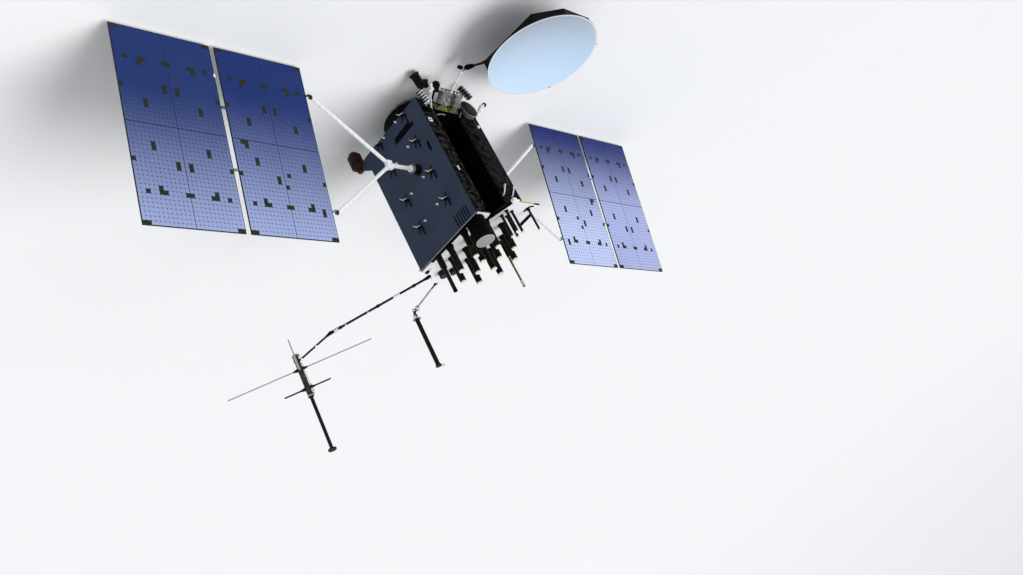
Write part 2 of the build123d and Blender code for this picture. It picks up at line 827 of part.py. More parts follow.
bracket_root = (dish_joint[0] + 210, dish_joint[2] + 40)
with BuildPart() as dish_bracket:
    with BuildSketch(dish_section_at(0).offset(-joint_tongue / 2)):
        with Locations((dish_joint[0], dish_joint[2])):
            Circle(joint_eye)
        with Locations(bracket_root):
            Rectangle(180, 70)
        make_hull()
        with Locations((dish_joint[0], dish_joint[2])):
            Circle(joint_pin + pin_clearance, mode=Mode.SUBTRACT)
    extrude(amount=joint_tongue)
    with Locations(dish_place.location):
        add(bowl_space.part, mode=Mode.SUBTRACT)
save(dish_bracket, "dish_bracket")

# Thruster pods at the bay's aft end: wrapped cases with nozzles, tilted towards the launch ring, each on the
# narrow top of a four-sided bracket
pod_rows = (
    # y, width
    (200, 285),
    (-165, 210),
)
pod_tilt = 37
pod_z = body_base_z + 145
pod_stand = 100
pod_depth = 205
pod_length = 290
pod_edge = 30
pod_neck = (100, 90)
bracket_margin = 55
bracket_tall = 190
nozzle_exit = 34
nozzle_throat = 14
nozzle_length = 62
pod_out = Vector(math.cos(math.radians(pod_tilt)), 0, -math.sin(math.radians(pod_tilt)))


def pod_plane(pod_y):
    """Plane of a pod's foot, whose normal runs along the pod."""
    return Plane(origin=(bay_front_x + pod_stand, pod_y, pod_z), x_dir=(0, 1, 0), z_dir=pod_out)


with BuildPart() as pod_brackets:
    for pod_y, pod_width in pod_rows:
        with BuildSketch(Plane.YZ.offset(bay_front_x)):
            with Locations((pod_y, pod_z)):
                Rectangle(pod_width + 2 * bracket_margin, bracket_tall)
        with BuildSketch(pod_plane(pod_y)):
            Rectangle(*pod_neck)
        loft()
save(pod_brackets, "pod_brackets")
with BuildPart() as thruster_pods:
    for pod_y, pod_width in pod_rows:
        pod_place = pod_plane(pod_y)
        with BuildSketch(pod_place):
            RectangleRounded(pod_width, pod_depth, pod_edge)
        extrude(amount=pod_length, taper=4)
        with Locations(pod_place.offset(pod_length).location):
            with GridLocations(pod_width / 2, pod_depth / 2, 2, 2):
                Cone(
                    nozzle_throat,
                    nozzle_exit,
                    nozzle_length,
                    align=(Align.CENTER, Align.CENTER, Align.MIN),
                )
save(thruster_pods, "thruster_pods")

# Round sensor on the foot of the right column: a collar, a wide drum with a raised rim and a domed face
dome_y = -640
dome_z = body_base_z + 110
dome_collar = 170
dome_drum = 240
dome_rise = 25
dome_depth = 100
dome_bulge = 45
dome_rim = 14
dome_face_x = dome_rise + dome_depth - 10
dome_face_radius = dome_drum - dome_rim
dome_sphere = (dome_face_radius**2 + dome_bulge**2) / (2 * dome_bulge)
dome_mid_drop = dome_sphere - math.sqrt(dome_sphere**2 - (dome_face_radius / 2) ** 2)
dome_mid_x = dome_face_x + dome_bulge - dome_mid_drop
with BuildPart() as dome_sensor:
    dome_section = Plane(origin=(bay_front_x, dome_y, dome_z), x_dir=(1, 0, 0), z_dir=(0, -1, 0))
    with BuildSketch(dome_section):
        with BuildLine():
            Polyline(
                (dome_face_x + dome_bulge, 0),
                (0, 0),
                (0, dome_collar),
                (dome_rise, dome_collar),
                (dome_rise, dome_drum),
                (dome_rise + dome_depth, dome_drum),
                (dome_rise + dome_depth, dome_face_radius),
                (dome_face_x, dome_face_radius),
            )
            ThreePointArc(
                (dome_face_x, dome_face_radius),
                (dome_mid_x, dome_face_radius / 2),
                (dome_face_x + dome_bulge, 0),
            )
        make_face()
    revolve(axis=Axis((bay_front_x, dome_y, dome_z), (1, 0, 0)))
    with BuildSketch(Plane.YZ.offset(bay_front_x - 1)):
        with Locations((dome_y, body_base_z - dome_collar)):
            Rectangle(2 * dome_collar, 2 * dome_collar)
    extrude(amount=1 + dome_rise, mode=Mode.SUBTRACT)
save(dome_sensor, "dome_sensor")

# Telemetry horns: two wrapped cans with flared mouths below the aft edge, on an arm from under the aft deck
horn_foot = (900, 620, body_base_z)
horn_foot_size = 110
horn_foot_drop = 45
horn_arm_radius = 24
horn_rows = (
    # start, end, radius, mouth radius
    ((1172, 715, 388), (1214, 825, 130), 98, 122),
    ((1188, 580, 345), (1202, 574, 240), 60, 78),
)
horn_flare = 48


def under_deck_block(x, y, size, drop):
    """Square block under the aft deck that carries an arm."""
    with BuildSketch(Plane.XY.offset(body_base_z)) as foot:
        with Locations((x, y)):
            Rectangle(size, size)
    extrude(foot.sketch, amount=-drop)


with BuildPart() as telemetry_horn:
    under_deck_block(horn_foot[0], horn_foot[1], horn_foot_size, horn_foot_drop)
    arm_start = (horn_foot[0], horn_foot[1], body_base_z - horn_foot_drop / 2)
    for start, end, radius, mouth in horn_rows:
        rod(arm_start, start, horn_arm_radius)
        rod(start, end, radius)
        with Locations(unit_plane(end, tuple(Vector(*end) * 2 - Vector(*start))).location):
            Cone(radius, mouth, horn_flare, align=(Align.CENTER, Align.CENTER, Align.MIN))
        arm_start = start
save(telemetry_horn, "telemetry_horn")

# Black can under the left pod, on an arm from under the aft deck
can_foot = (900, 330)
can_start = (1135, 325, 400)
can_end = (1298, 325, 277)
can_body_radius = 92
can_neck_radius = 60
with BuildPart() as aft_can:
    under_deck_block(*can_foot, horn_foot_size, horn_foot_drop)
    rod((*can_foot, body_base_z - horn_foot_drop / 2), can_start, horn_arm_radius)
    rod(can_start, can_end, can_body_radius)
    can_unit = (Vector(*can_end) - Vector(*can_start)).normalized()
    rod(can_end, tuple(Vector(*can_end) + can_unit * 40), can_neck_radius)
save(aft_can, "aft_can")

# Finned coolers on both sides of the aft end: a stack of plates on a core rod
fin_size = (150, 112)
fin_thickness = 12
fin_core = 34
fin_count = 5
fin_overhang = 20


def fin_stack(first, last):
    """Plates in a row from first to last, joined by a core."""
    run = Vector(*last) - Vector(*first)
    for index in range(fin_count):
        centre = Vector(*first) + run * (index / (fin_count - 1))
        with BuildSketch(Plane.XY.offset(centre.Z - fin_thickness / 2)) as plate:
            with Locations((centre.X, centre.Y)):
                Rectangle(*fin_size)
        extrude(plate.sketch, amount=fin_thickness)
    reach = run.normalized() * fin_overhang
    rod(tuple(Vector(*first) - reach), tuple(Vector(*last) + reach), fin_core)


left_fins = ((1096, 790, 480), (bay_front_x + fin_size[0] / 2, 655, 700))
right_fins = ((1235, -545, 165), (1235, -690, 425))
cooler_foot = (850, -560)
cooler_drop = 110
with BuildPart() as aft_cooler:
    fin_stack(*right_fins)
    under_deck_block(*cooler_foot, horn_foot_size, cooler_drop)
    rod((*cooler_foot, body_base_z - cooler_drop + 20), (1235, -601, 265), horn_arm_radius)
save(aft_cooler, "aft_cooler")

# White fittings: the left fins, a nozzle block on two struts, a nozzle arm on the right radiator and two frames
# on the columns
block_centre = (1200, 500, 420)
block_size = (110, 90, 90)
block_nozzle = (1240, 468, 318)
strut_radius = 11
strut_feet = (
    # y, z on the columns' front
    (520, 660),
    (500, 800),
)
arm_foot = (930, -radiator_outer_y, 830)
arm_elbow = (1110, -990, 663)
arm_head = (1200, -1040, 580)
arm_nozzle = (1206, -1165, 512)
frame_rows = (
    # y, z, side, depth, hole
    (765, 1200, 100, 22, 58),
    (-790, 1110, 60, 44, 0),
)
with BuildPart() as column_fronts:
    with BuildSketch(Plane.XY.offset(body_base_z)):
        with Locations((bay_front_x - 200, 0)):
            Rectangle(400, 2 * radiator_outer_y)
    extrude(amount=body_length)
with BuildPart() as aft_fittings:
    fin_stack(*left_fins)
    with Locations(block_centre):
        Box(*block_size)
    with Locations(unit_plane(block_centre, block_nozzle).location):
        with Locations((0, 0, 40)):
            Cone(18, 40, 90, align=(Align.CENTER, Align.CENTER, Align.MIN))
    for foot_y, foot_z in strut_feet:
        rod((bay_front_x, foot_y, foot_z), (bay_front_x + 10, foot_y, foot_z), 26)
        rod((bay_front_x, foot_y, foot_z), block_centre, strut_radius)
    rod(arm_foot, (arm_foot[0], arm_foot[1] - 12, arm_foot[2]), 60)
    rod(arm_foot, arm_elbow, 26)
    rod(arm_elbow, arm_head, 52)
    nozzle_reach = (Vector(*arm_nozzle) - Vector(*arm_head)).length
    with Locations(unit_plane(arm_head, arm_nozzle).location):
        Cone(20, 46, nozzle_reach, align=(Align.CENTER, Align.CENTER, Align.MIN))
    for frame_y, frame_z, size, depth, hole in frame_rows:
        with BuildSketch(Plane.YZ.offset(bay_front_x)):
            with Locations((frame_y, frame_z)):
                Rectangle(size, size)
                if hole:
                    Rectangle(hole, hole, mode=Mode.SUBTRACT)
        extrude(amount=depth)
    add(column_fronts.part, mode=Mode.SUBTRACT)
save(aft_fittings, "aft_fittings")

# Boom A frame: s runs out along the boom's bearing and z up from the root
bearing = math.radians(boom_a_turn)
boom_a_out = Vector(math.cos(bearing), math.sin(bearing), 0)
boom_a_side = Vector(-math.sin(bearing), math.cos(bearing), 0)


def boom_a_at(s, z, across=0):
    """World point at s along the boom's bearing and z above its root."""
    return Vector(*boom_a_root) + boom_a_out * s + Vector(0, 0, z) + boom_a_side * across


def boom_a_section(across):
    """Vertical plane along the boom, with its normal across it."""
    return Plane(origin=boom_a_at(0, 0, across), x_dir=boom_a_out, z_dir=boom_a_out.cross(Vector(0, 0, 1)))


elbow_s, elbow_z = boom_a_elbow
head_s, head_z = boom_a_head
first_length = math.hypot(elbow_s, elbow_z)
first_unit = (elbow_s / first_length, elbow_z / first_length)
second_length = math.hypot(head_s - elbow_s, head_z - elbow_z)
second_unit = ((head_s - elbow_s) / second_length, (head_z - elbow_z) / second_length)

def boom_b_section(across):
    """Vertical plane along boom B, with its normal across it."""
    return Plane.XZ.offset(-(boom_b_root[1] + across))


# Shoulders of both booms, under the deck's back edge
pin_b = (boom_b_root[0], boom_b_root[2])
with BuildPart() as boom_shoulders:
    fork(boom_a_section, (0, 0), (-110, -34), 22)
    with BuildSketch(Plane.XY.offset(deck_bottom_z - 0.3)):
        with Locations(boom_a_at(-120, 0)):
            Rectangle(90, 90, rotation=boom_a_turn)
    extrude(amount=-75)
    fork(boom_b_section, pin_b, (pin_b[0] + 100, pin_b[1] - 30), 22)
    with BuildSketch(Plane.XY.offset(deck_bottom_z - 0.3)):
        with Locations((pin_b[0] + 110, boom_b_root[1])):
            Rectangle(90, 90)
    extrude(amount=-75)
    add(antenna_deck.part, mode=Mode.SUBTRACT)
save(boom_shoulders, "boom_shoulders")

with BuildPart() as boom_a_link:
    tongue(boom_a_section, (0, 0), (first_unit[0] * 100, first_unit[1] * 100), 24)
    rod(
        boom_a_at(first_unit[0] * 90, first_unit[1] * 90),
        boom_a_at(elbow_s - first_unit[0] * 90, elbow_z - first_unit[1] * 90),
        boom_a_radius,
    )
    collar_run = (boom_a_at(*first_unit) - boom_a_at(0, 0)) * collar_length
    for share in collar_shares:
        start = boom_a_at(elbow_s * share, elbow_z * share)
        rod(start, start + collar_run, boom_a_radius + collar_reach)
    fork(boom_a_section, (elbow_s, elbow_z), (elbow_s - first_unit[0] * 90, elbow_z - first_unit[1] * 90), 24)
save(boom_a_link, "boom_a_link")

# Sensor head: an upright case, long and short dipoles, a side rod and a mast with a wide foot
head_radius = 60
side_rod_gap = 90
with BuildPart() as head_case:
    rod(boom_a_at(head_s, head_low_z + 80), boom_a_at(head_s, head_high_z), head_radius)
    for height in (head_low_z + 80, head_z - 60, head_high_z - 40):
        rod(boom_a_at(head_s, height), boom_a_at(head_s, height + 40), head_radius + 8)
save(head_case, "head_case")

with BuildPart() as boom_a_forearm:
    near = (elbow_s + second_unit[0] * 90, elbow_z + second_unit[1] * 90)
    tongue(boom_a_section, (elbow_s, elbow_z), near, 22)
    rod(
        boom_a_at(elbow_s + second_unit[0] * 80, elbow_z + second_unit[1] * 80),
        boom_a_at(head_s, head_z),
        boom_a_radius - 4,
    )
    add(head_case.part, mode=Mode.SUBTRACT)
save(boom_a_forearm, "boom_a_forearm")

dipole_boss = 42
dipole_rows = (
    # height above the root, inner reach, outer reach, radius
    (825, 1640, 1630, 14),
    (1300, 520, 520, 17),
)
with BuildPart() as head_dipoles:
    for height, inner, outer, radius in dipole_rows:
        rod(boom_a_at(head_s - inner, height), boom_a_at(head_s - head_radius, height), radius)
        rod(boom_a_at(head_s + head_radius, height), boom_a_at(head_s + outer, height), radius)
        for end_sign in (1, -1):
            root = boom_a_at(head_s + end_sign * head_radius, height)
            with Locations(unit_plane(root, root + boom_a_out * end_sign).location):
                Cone(dipole_boss, radius, 110, align=(Align.CENTER, Align.CENTER, Align.MIN))
    add(head_case.part, mode=Mode.SUBTRACT)
save(head_dipoles, "head_dipoles")
with BuildPart() as head_mast:
    rod(boom_a_at(head_s, head_high_z), boom_a_at(head_s, head_mast_top_z), 38)
    rod(boom_a_at(head_s, head_mast_top_z), boom_a_at(head_s, head_mast_top_z + head_mast_cap), 92)
    rod(boom_a_at(head_s, 95, -side_rod_gap), boom_a_at(head_s, 870, -side_rod_gap), 14)
    for height in (520, 840):
        rod(boom_a_at(head_s, height, -side_rod_gap), boom_a_at(head_s, height, 10 - head_radius), 12)
    add(head_case.part, mode=Mode.SUBTRACT)
save(head_mast, "head_mast")


# Boom B: a short arm from the deck's back edge with a rod on its elbow
arm_end = Vector(*boom_b_elbow)
with BuildPart() as boom_b_arm:
    start_b = Vector(pin_b[0], boom_b_root[1], pin_b[1])
    b_unit = (arm_end - start_b).normalized()
    tongue(boom_b_section, pin_b, (pin_b[0] + b_unit.X * 90, pin_b[1] + b_unit.Z * 90), 18)
    rod(start_b + b_unit * 80, arm_end - b_unit * 90, boom_b_radius)
    elbow_pin_b = (boom_b_elbow[0], boom_b_elbow[2])
    fork(boom_b_section, elbow_pin_b, (boom_b_elbow[0] - b_unit.X * 90, boom_b_elbow[2] - b_unit.Z * 90), 20)
save(boom_b_arm, "boom_b_arm")
with BuildPart() as boom_b_rod:
    tongue(boom_b_section, elbow_pin_b, (boom_b_elbow[0] - 40, boom_b_elbow[2] + 80), 24)
    rod_base = (boom_b_elbow[0] - 40, boom_b_elbow[1], boom_b_elbow[2] + 80)
    rod(rod_base, (rod_base[0], rod_base[1], rod_base[2] + rod_length), rod_radius)
    rod(
        (rod_base[0], rod_base[1], rod_base[2] + rod_length),
        (rod_base[0], rod_base[1], rod_base[2] + rod_length + 40),
        70,
    )
save(boom_b_rod, "boom_b_rod")
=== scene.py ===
"""Looks of a navigation satellite that stands on its launch ring with its wings, dish and booms out."""

import json
import logging
import math
from collections.abc import Sequence
from dataclasses import dataclass
from enum import Enum
from functools import cache
from itertools import product

import bmesh
import bpy
from mathutils import Euler, Matrix, Vector, noise


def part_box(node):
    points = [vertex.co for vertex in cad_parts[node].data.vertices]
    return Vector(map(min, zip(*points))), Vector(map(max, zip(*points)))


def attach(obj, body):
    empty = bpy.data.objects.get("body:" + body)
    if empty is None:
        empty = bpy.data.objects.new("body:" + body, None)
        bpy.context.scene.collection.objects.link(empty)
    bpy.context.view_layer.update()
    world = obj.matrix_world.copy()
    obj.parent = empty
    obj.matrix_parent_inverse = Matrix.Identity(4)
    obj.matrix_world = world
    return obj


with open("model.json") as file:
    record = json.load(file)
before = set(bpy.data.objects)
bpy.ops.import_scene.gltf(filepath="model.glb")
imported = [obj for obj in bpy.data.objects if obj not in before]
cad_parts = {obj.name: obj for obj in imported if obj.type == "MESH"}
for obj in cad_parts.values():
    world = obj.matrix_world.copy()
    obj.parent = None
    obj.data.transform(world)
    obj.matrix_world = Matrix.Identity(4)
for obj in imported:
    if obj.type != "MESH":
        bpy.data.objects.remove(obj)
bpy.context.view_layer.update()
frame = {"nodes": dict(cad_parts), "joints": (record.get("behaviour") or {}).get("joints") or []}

log = logging.getLogger("satellite")
Point = Sequence[float]
Colour = tuple[float, float, float]
Pairs = tuple[tuple[float, float], ...]
ROW_FRAME = Matrix.Identity(4).freeze()


class Body(str, Enum):
    """The rigid bodies that pieces ride on."""

    BUS = "spacecraft_body"
    DISH_ARM = "dish_boom"
    DIPOLE_ARM = "dipole_boom"
    DIPOLE_HEAD = "dipole_head"
    ROD_ARM = "rod_boom"
    ROD = "rod_antenna"


class Slot(str, Enum):
    """The record's material slots that pieces follow."""

    BLANKET = "blanket"
    DARK = "dark_metal"
    FITTING = "fitting"
    GOLD = "gold"
    HELIX = "helix"
    RING = "ring"
    WHITE = "white"


class Wire:
    """One socket of a shader graph, with arithmetic."""

    def __init__(self, graph: "Graph", socket: bpy.types.NodeSocket) -> None:
        """Keeps the graph and the socket."""
        self.graph = graph
        self.socket = socket

    def math(self, operation: str, *others: "Wire | float") -> "Wire":
        """Adds a Math node.

        Args:
            operation: name of the Math node's operation.
            others: the values after this one.

        Returns:
            The node's result.
        """
        values = dict(enumerate((self, *others)))
        return self.graph.node("ShaderNodeMath", {"operation": operation}, values)

    def __add__(self, other: "Wire | float") -> "Wire":
        """Sum."""
        return self.math("ADD", other)

    __radd__ = __add__

    def __sub__(self, other: "Wire | float") -> "Wire":
        """Difference."""
        return self.math("SUBTRACT", other)

    def __rsub__(self, other: float) -> "Wire":
        """Difference from a number."""
        return self.graph.number(other).math("SUBTRACT", self)

    def __mul__(self, other: "Wire | float") -> "Wire":
        """Product."""
        return self.math("MULTIPLY", other)

    __rmul__ = __mul__

    def __truediv__(self, other: "Wire | float") -> "Wire":
        """Quotient."""
        return self.math("DIVIDE", other)

    def __rtruediv__(self, other: float) -> "Wire":
        """Quotient of a number."""
        return self.graph.number(other).math("DIVIDE", self)

    def __gt__(self, other: "Wire | float") -> "Wire":
        """1 where this is greater."""
        return self.math("GREATER_THAN", other)

    def __lt__(self, other: "Wire | float") -> "Wire":
        """1 where this is less."""
        return self.math("LESS_THAN", other)

    def __abs__(self) -> "Wire":
        """Size without the sign."""
        return self.math("ABSOLUTE")

    def fract(self) -> "Wire":
        """Fractional part."""
        return self.math("FRACT")

    def near(self, other: float, reach: float) -> "Wire":
        """1 where this is within reach of other."""
        return abs(self - other) < reach

    def clamp(self) -> "Wire":
        """Limits to 0 and 1."""
        return self.graph.node("ShaderNodeClamp", {}, {"Value": self})

    def around(self, centre: "Wire | float", spread: float) -> "Wire":
        """Moves a noise near 0.5 to near a centre, and limits it."""
        return ((self - 0.5) * spread + centre).clamp()


class Graph:
    """The node tree of one material or world."""

    def __init__(self, name: str, kind: str = "materials") -> None:
        """Makes the owner, with an empty tree.

        Args:
            name: the owner's name.
            kind: "materials" or "worlds".
        """
        self.owner = getattr(bpy.data, kind).new(name)
        self.owner.use_nodes = True
        self.tree = self.owner.node_tree
        self.tree.nodes.clear()

    @property
    def place(self) -> Wire:
        """Place on the object."""
        return self.node("ShaderNodeTexCoord", {}, {}, "Object")

    @property
    def face(self) -> Wire:
        """Normal of the face."""
        return self.node("ShaderNodeTexCoord", {}, {}, "Normal")

    def node(self, kind: str, settings: dict, inputs: dict, output: int | str = 0) -> Wire:
        """Adds a node.

        Args:
            kind: the node's type.
            settings: attributes, set first.
            inputs: socket name or number to a value or a Wire.
            output: name or number of the output that is returned.

        Returns:
            The chosen output.
        """
        made = self.tree.nodes.new(kind)
        for key, value in settings.items():
            setattr(made, key, value)
        for key, value in inputs.items():
            socket = made.inputs[key]
            if isinstance(value, Wire):
                self.tree.links.new(value.socket, socket)
            else:
                socket.default_value = (*value, 1.0) if socket.type == "RGBA" else value
        return Wire(self, made.outputs[output])

    def number(self, value: float) -> Wire:
        """A Math node that holds a number, for sums that start with one."""
        return self.node("ShaderNodeMath", {"operation": "ADD"}, {0: value, 1: 0.0})

    def vector(self, operation: str, *values: Wire | Point, output: str = "Vector") -> Wire:
        """Adds a Vector Math node.

        Args:
            operation: name of the node's operation.
            values: its vectors.
            output: "Vector", or "Value" for a number.

        Returns:
            The node's result.
        """
        inputs = dict(enumerate(values))
        return self.node("ShaderNodeVectorMath", {"operation": operation}, inputs, output)

    def dot(self, vector: Wire, direction: Point) -> Wire:
        """Length of a vector along a direction."""
        return self.vector("DOT_PRODUCT", vector, tuple(direction), output="Value")

    def mix(self, factor: Wire | float, first: Wire | Colour, second: Wire | Colour) -> Wire:
        """Blends two colours.

        Args:
            factor: 0 gives the first colour and 1 the second.
            first: colour at 0.
            second: colour at 1.

        Returns:
            The blended colour.
        """
        settings = {"data_type": "RGBA", "clamp_factor": True}
        return self.node("ShaderNodeMix", settings, {0: factor, 6: first, 7: second}, 2)

    def noise(self, scale: float, detail: float = 3.0) -> Wire:
        """Noise near 0.5 over the object, from cells per metre and octaves."""
        inputs = {"Vector": self.place, "Scale": scale, "Detail": detail}
        return self.node("ShaderNodeTexNoise", {}, inputs, "Fac")

    def facets(self, scale: float) -> Wire:
        """Cell distance over the object, for crumpled foil, from cells per metre."""
        return self.node("ShaderNodeTexVoronoi", {}, {"Vector": self.place, "Scale": scale}, "Distance")

    def bump(self, height: Wire, depth: float, strength: float = 1.0) -> Wire:
        """Turns a height of about 0 to 1 into a normal; depth is in metres at height 1."""
        return self.node("ShaderNodeBump", {}, {"Height": height, "Distance": depth, "Strength": strength})

    def end(self, kind: str, shader: Wire) -> None:
        """Joins a shader to an output node of that kind."""
        self.tree.links.new(shader.socket, self.tree.nodes.new(kind).inputs["Surface"])

    def surface(self, **sockets: object) -> bpy.types.Material:
        """Ends the graph in a Principled shader.

        Args:
            sockets: values by socket name, with _ for a space.

        Returns:
            The material.
        """
        inputs = {key.replace("_", " "): value for key, value in sockets.items()}
        self.end("ShaderNodeOutputMaterial", self.node("ShaderNodeBsdfPrincipled", {}, inputs))
        return self.owner


def scaled(colour: Colour, factor: float) -> Colour:
    """A colour made darker or lighter."""
    return tuple(channel * factor for channel in colour)


@dataclass(frozen=True)
class Foil:
    """Crumpled thermal blanket; a share of its light tone, set per blanket, is painted highlights that follow the
    crease ridges.
    """

    name: str
    dark: Colour
    light: Colour
    crease: float = 7.0
    depth: float = 0.02
    roughness: float = 0.42
    metallic: float = 0.0
    gloss: float = 0.2
    ridge_highlights: float = 0.0
    slot: Slot = Slot.BLANKET

    def material(self) -> bpy.types.Material:
        """Builds the blanket's material."""
        graph = Graph(self.name)
        large = graph.noise(self.crease, 4.0)
        folds = graph.facets(self.crease * 2.3)
        fine = graph.facets(self.crease * 6.0)
        ridge = (1.0 - abs(large - 0.5) * 16.0).clamp()
        height = folds * 0.6 + fine * 0.22 + large * 0.5 + ridge * 0.35
        # Painted highlights: the chosen share of the light tone follows the crease ridges; the rest follows a
        # random cloud.
        tone = ((large - 0.35) * 2.6).clamp() * (1.0 - self.ridge_highlights) + ridge * folds * 2.0 * self.ridge_highlights
        return graph.surface(
            Base_Color=graph.mix(tone.clamp(), self.dark, self.light),
            Roughness=(large * 0.35 + self.roughness - 0.17).clamp(),
            Metallic=self.metallic,
            Specular_IOR_Level=self.gloss,
            Normal=graph.bump(height, self.depth),
        )


@dataclass(frozen=True)
class Paint:
    """Painted or plated hardware with a faint mottle."""

    name: str
    colour: Colour
    worn: Colour
    roughness: float = 0.5
    metallic: float = 0.0
    grain: float = 24.0
    gloss: float = 0.4
    slot: Slot = Slot.DARK
    relief: float = 0.0015

    def material(self) -> bpy.types.Material:
        """Builds the paint's material."""
        graph = Graph(self.name)
        mottle = graph.noise(self.grain, 4.0)
        fine = graph.noise(self.grain * 9.0, 2.0)
        return graph.surface(
            Base_Color=graph.mix(((mottle - 0.4) * 2.5).clamp(), self.colour, self.worn),
            Roughness=fine.around(self.roughness, 0.25),
            Metallic=self.metallic,
            Specular_IOR_Level=self.gloss,
            Normal=graph.bump(fine, self.relief, 0.6),
        )


@dataclass(frozen=True)
class Banded:
    """A tube wrapped at intervals in darker tape, black beyond a limit on its axis."""

    name: str
    colour: Colour
    tape: Colour
    axis: Point
    spacing: float
    share: float
    limit: float = 100.0
    black: Colour = (0.004, 0.004, 0.005)

    def material(self) -> bpy.types.Material:
        """Builds the tube's material."""
        graph = Graph(self.name)
        along = graph.dot(graph.place, self.axis)
        tape = (along / self.spacing).fract() < self.share
        mottle = graph.noise(30.0)
        shade = graph.mix(tape * (mottle * 0.6 + 0.5), self.colour, self.tape)
        return graph.surface(
            Base_Color=graph.mix(along > self.limit, shade, self.black),
            Roughness=mottle.around(0.4, 0.3),
            Specular_IOR_Level=0.3,
            Normal=graph.bump(mottle + tape * 0.8, 0.003),
        )


@dataclass(frozen=True)
class Tiles:
    """Radiator of square mirror tiles, painted black in its pockets as painted shade, and black round its edges.
    """

    name: str
    tile: Colour
    shade: Colour
    outer: float
    pitch: float = 0.082
    half_tile: float = 0.478
    pocket: float = 0.006
    black: Colour = (0.004, 0.005, 0.006)

    def material(self) -> bpy.types.Material:
        """Builds the radiator's material."""
        graph = Graph(self.name)
        across, up = (
            (graph.dot(graph.place, axis) / self.pitch).fract().near(0.5, self.half_tile)
            for axis in ((1, 0, 0), (0, 0, 1))
        )
        seam = 1.0 - across * up
        cloud = graph.noise(1.1)
        fine = graph.noise(9.0)
        colour = graph.mix(((cloud - 0.38) * 3.0).clamp(), self.tile, self.shade)
        lined = graph.mix(seam * 0.22, colour, self.black)
        depth, facing = (abs(graph.dot(vector, (0, 1, 0))) for vector in (graph.place, graph.face))
        # Painted shade: the pockets' floors are painted black; faces that don't face out along Y are black as
        # well.
        pocket_shade_and_edges = ((depth < self.outer - self.pocket) + (facing < 0.5)).clamp()
        return graph.surface(
            Base_Color=graph.mix(pocket_shade_and_edges, lined, self.black),
            Roughness=fine.around(seam * 0.2 + 0.4, 0.2),
            Specular_IOR_Level=0.06,
            Normal=graph.bump(fine * 0.3 - seam, 0.0012),
        )


@dataclass(frozen=True)
class Cells:
    """Solar cells on a panel's front, their colour fading from deep to pale along the panel as a painted
    reflection, and dark laminate on its back.
    """

    name: str
    origin: Point
    across: Point
    along: Point
    face: Point
    size: tuple[float, float]
    counts: tuple[int, int]
    # The deep and pale ends of the painted reflection on the cells, and where its fade starts and ends along the
    # panel.
    deep: Colour
    pale: Colour
    reflection_fade: tuple[float, float]
    dot: float = 0.023
    seams: tuple[float, float] = (0.020, 0.024)
    rib_pitch: float = 0.31
    ink: Colour = (0.020, 0.026, 0.060)
    cloth: tuple[Colour, Colour] = ((0.016, 0.016, 0.018), (0.040, 0.039, 0.040))
    rib: Colour = (0.075, 0.072, 0.068)

    def material(self) -> bpy.types.Material:
        """Builds the panel's material."""
        graph = Graph(self.name)
        local = graph.vector("SUBTRACT", graph.place, self.origin)
        reach = graph.dot(local, self.along)
        a, b = graph.dot(local, self.across) / self.size[0], reach / self.size[1]
        da, db = (0.5 - abs((s * float(n)).fract() - 0.5) for s, n in zip((a, b), self.counts))
        dot = (da * da + db * db) < self.dot
        line = ((da < self.seams[0]) + (db < self.seams[1])).clamp()
        front = graph.dot(graph.face, self.face) > 0.5
        cloud = graph.noise(0.8, 2.0)
        fleck = graph.noise(26.0, 2.0)
        drift = (cloud - 0.5) * 0.22 + (fleck - 0.5) * 0.06
        # Painted reflection: the cells' colour ramps from deep to pale along the panel, with a soft noisy drift.
        limits = {0: b, 1: self.reflection_fade[0], 2: self.reflection_fade[1], 3: 0.0, 4: 1.0}
        smooth = graph.node("ShaderNodeMapRange", {"interpolation_type": "SMOOTHSTEP"}, limits)
        cell = graph.mix((smooth + drift * b * 0.7).clamp(), self.deep, self.pale)
        lined = graph.mix(line * 0.22, cell, scaled(self.deep, 0.5))
        dotted = graph.mix(dot * ((b * 3.2 - 0.35).clamp() * 0.74 + 0.06), lined, self.ink)
        rib = (reach / self.rib_pitch).fract().near(0.5, 0.03)
        back = graph.mix(rib * 0.5, graph.mix((fleck - 0.3).clamp(), *self.cloth), self.rib)
        return graph.surface(
            Base_Color=graph.mix(front, back, dotted),
            Roughness=fleck.around(0.44 - front * 0.08, 0.12),
            Specular_IOR_Level=0.12,
            Normal=graph.bump((line * -1.0 - dot * 0.6) * front + fleck * 0.2, 0.0015),
        )


@dataclass(frozen=True)
class Bowl:
    """Painted dish whose front runs from its colour to its shade across one direction, as painted light and
    shade, with a pale rim and a dark back.
    """

    name: str
    centre: Point
    normal: Point
    colour: Colour
    shade: Colour
    radius: float
    lip: float = 0.040
    shade_slope: Point = (0.764, 0.644, 0.0)
    pale: Colour = (0.66, 0.70, 0.74)
    back: tuple[Colour, Colour] = ((0.010, 0.010, 0.011), (0.030, 0.029, 0.028))

    def material(self) -> bpy.types.Material:
        """Builds the dish's material."""
        graph = Graph(self.name)
        local = graph.vector("SUBTRACT", graph.place, self.centre)
        reach = graph.vector("LENGTH", local, output="Value")
        front = graph.dot(graph.face, self.normal) > 0.1
        cloud = graph.noise(1.2)
        weave = graph.noise(70.0, 2.0)
        # Painted light and shade: the front's colour ramps from its lit colour to its shade colour along one
        # direction across the dish.
        shade_slope = graph.dot(local, self.shade_slope) / (2.0 * self.radius) + 0.5
        painted_shading = cloud.around(shade_slope.clamp().math("POWER", 1.7), 0.1)
        rim = reach > self.radius - self.lip
        edged = graph.mix(rim * 0.85, graph.mix(painted_shading, self.colour, self.shade), self.pale)
        return graph.surface(
            Base_Color=graph.mix(front, graph.mix(cloud, *self.back), edged),
            Roughness=weave.around(0.5, 0.2),
            Specular_IOR_Level=0.3,
            Normal=graph.bump(weave + cloud, 0.0015),
        )


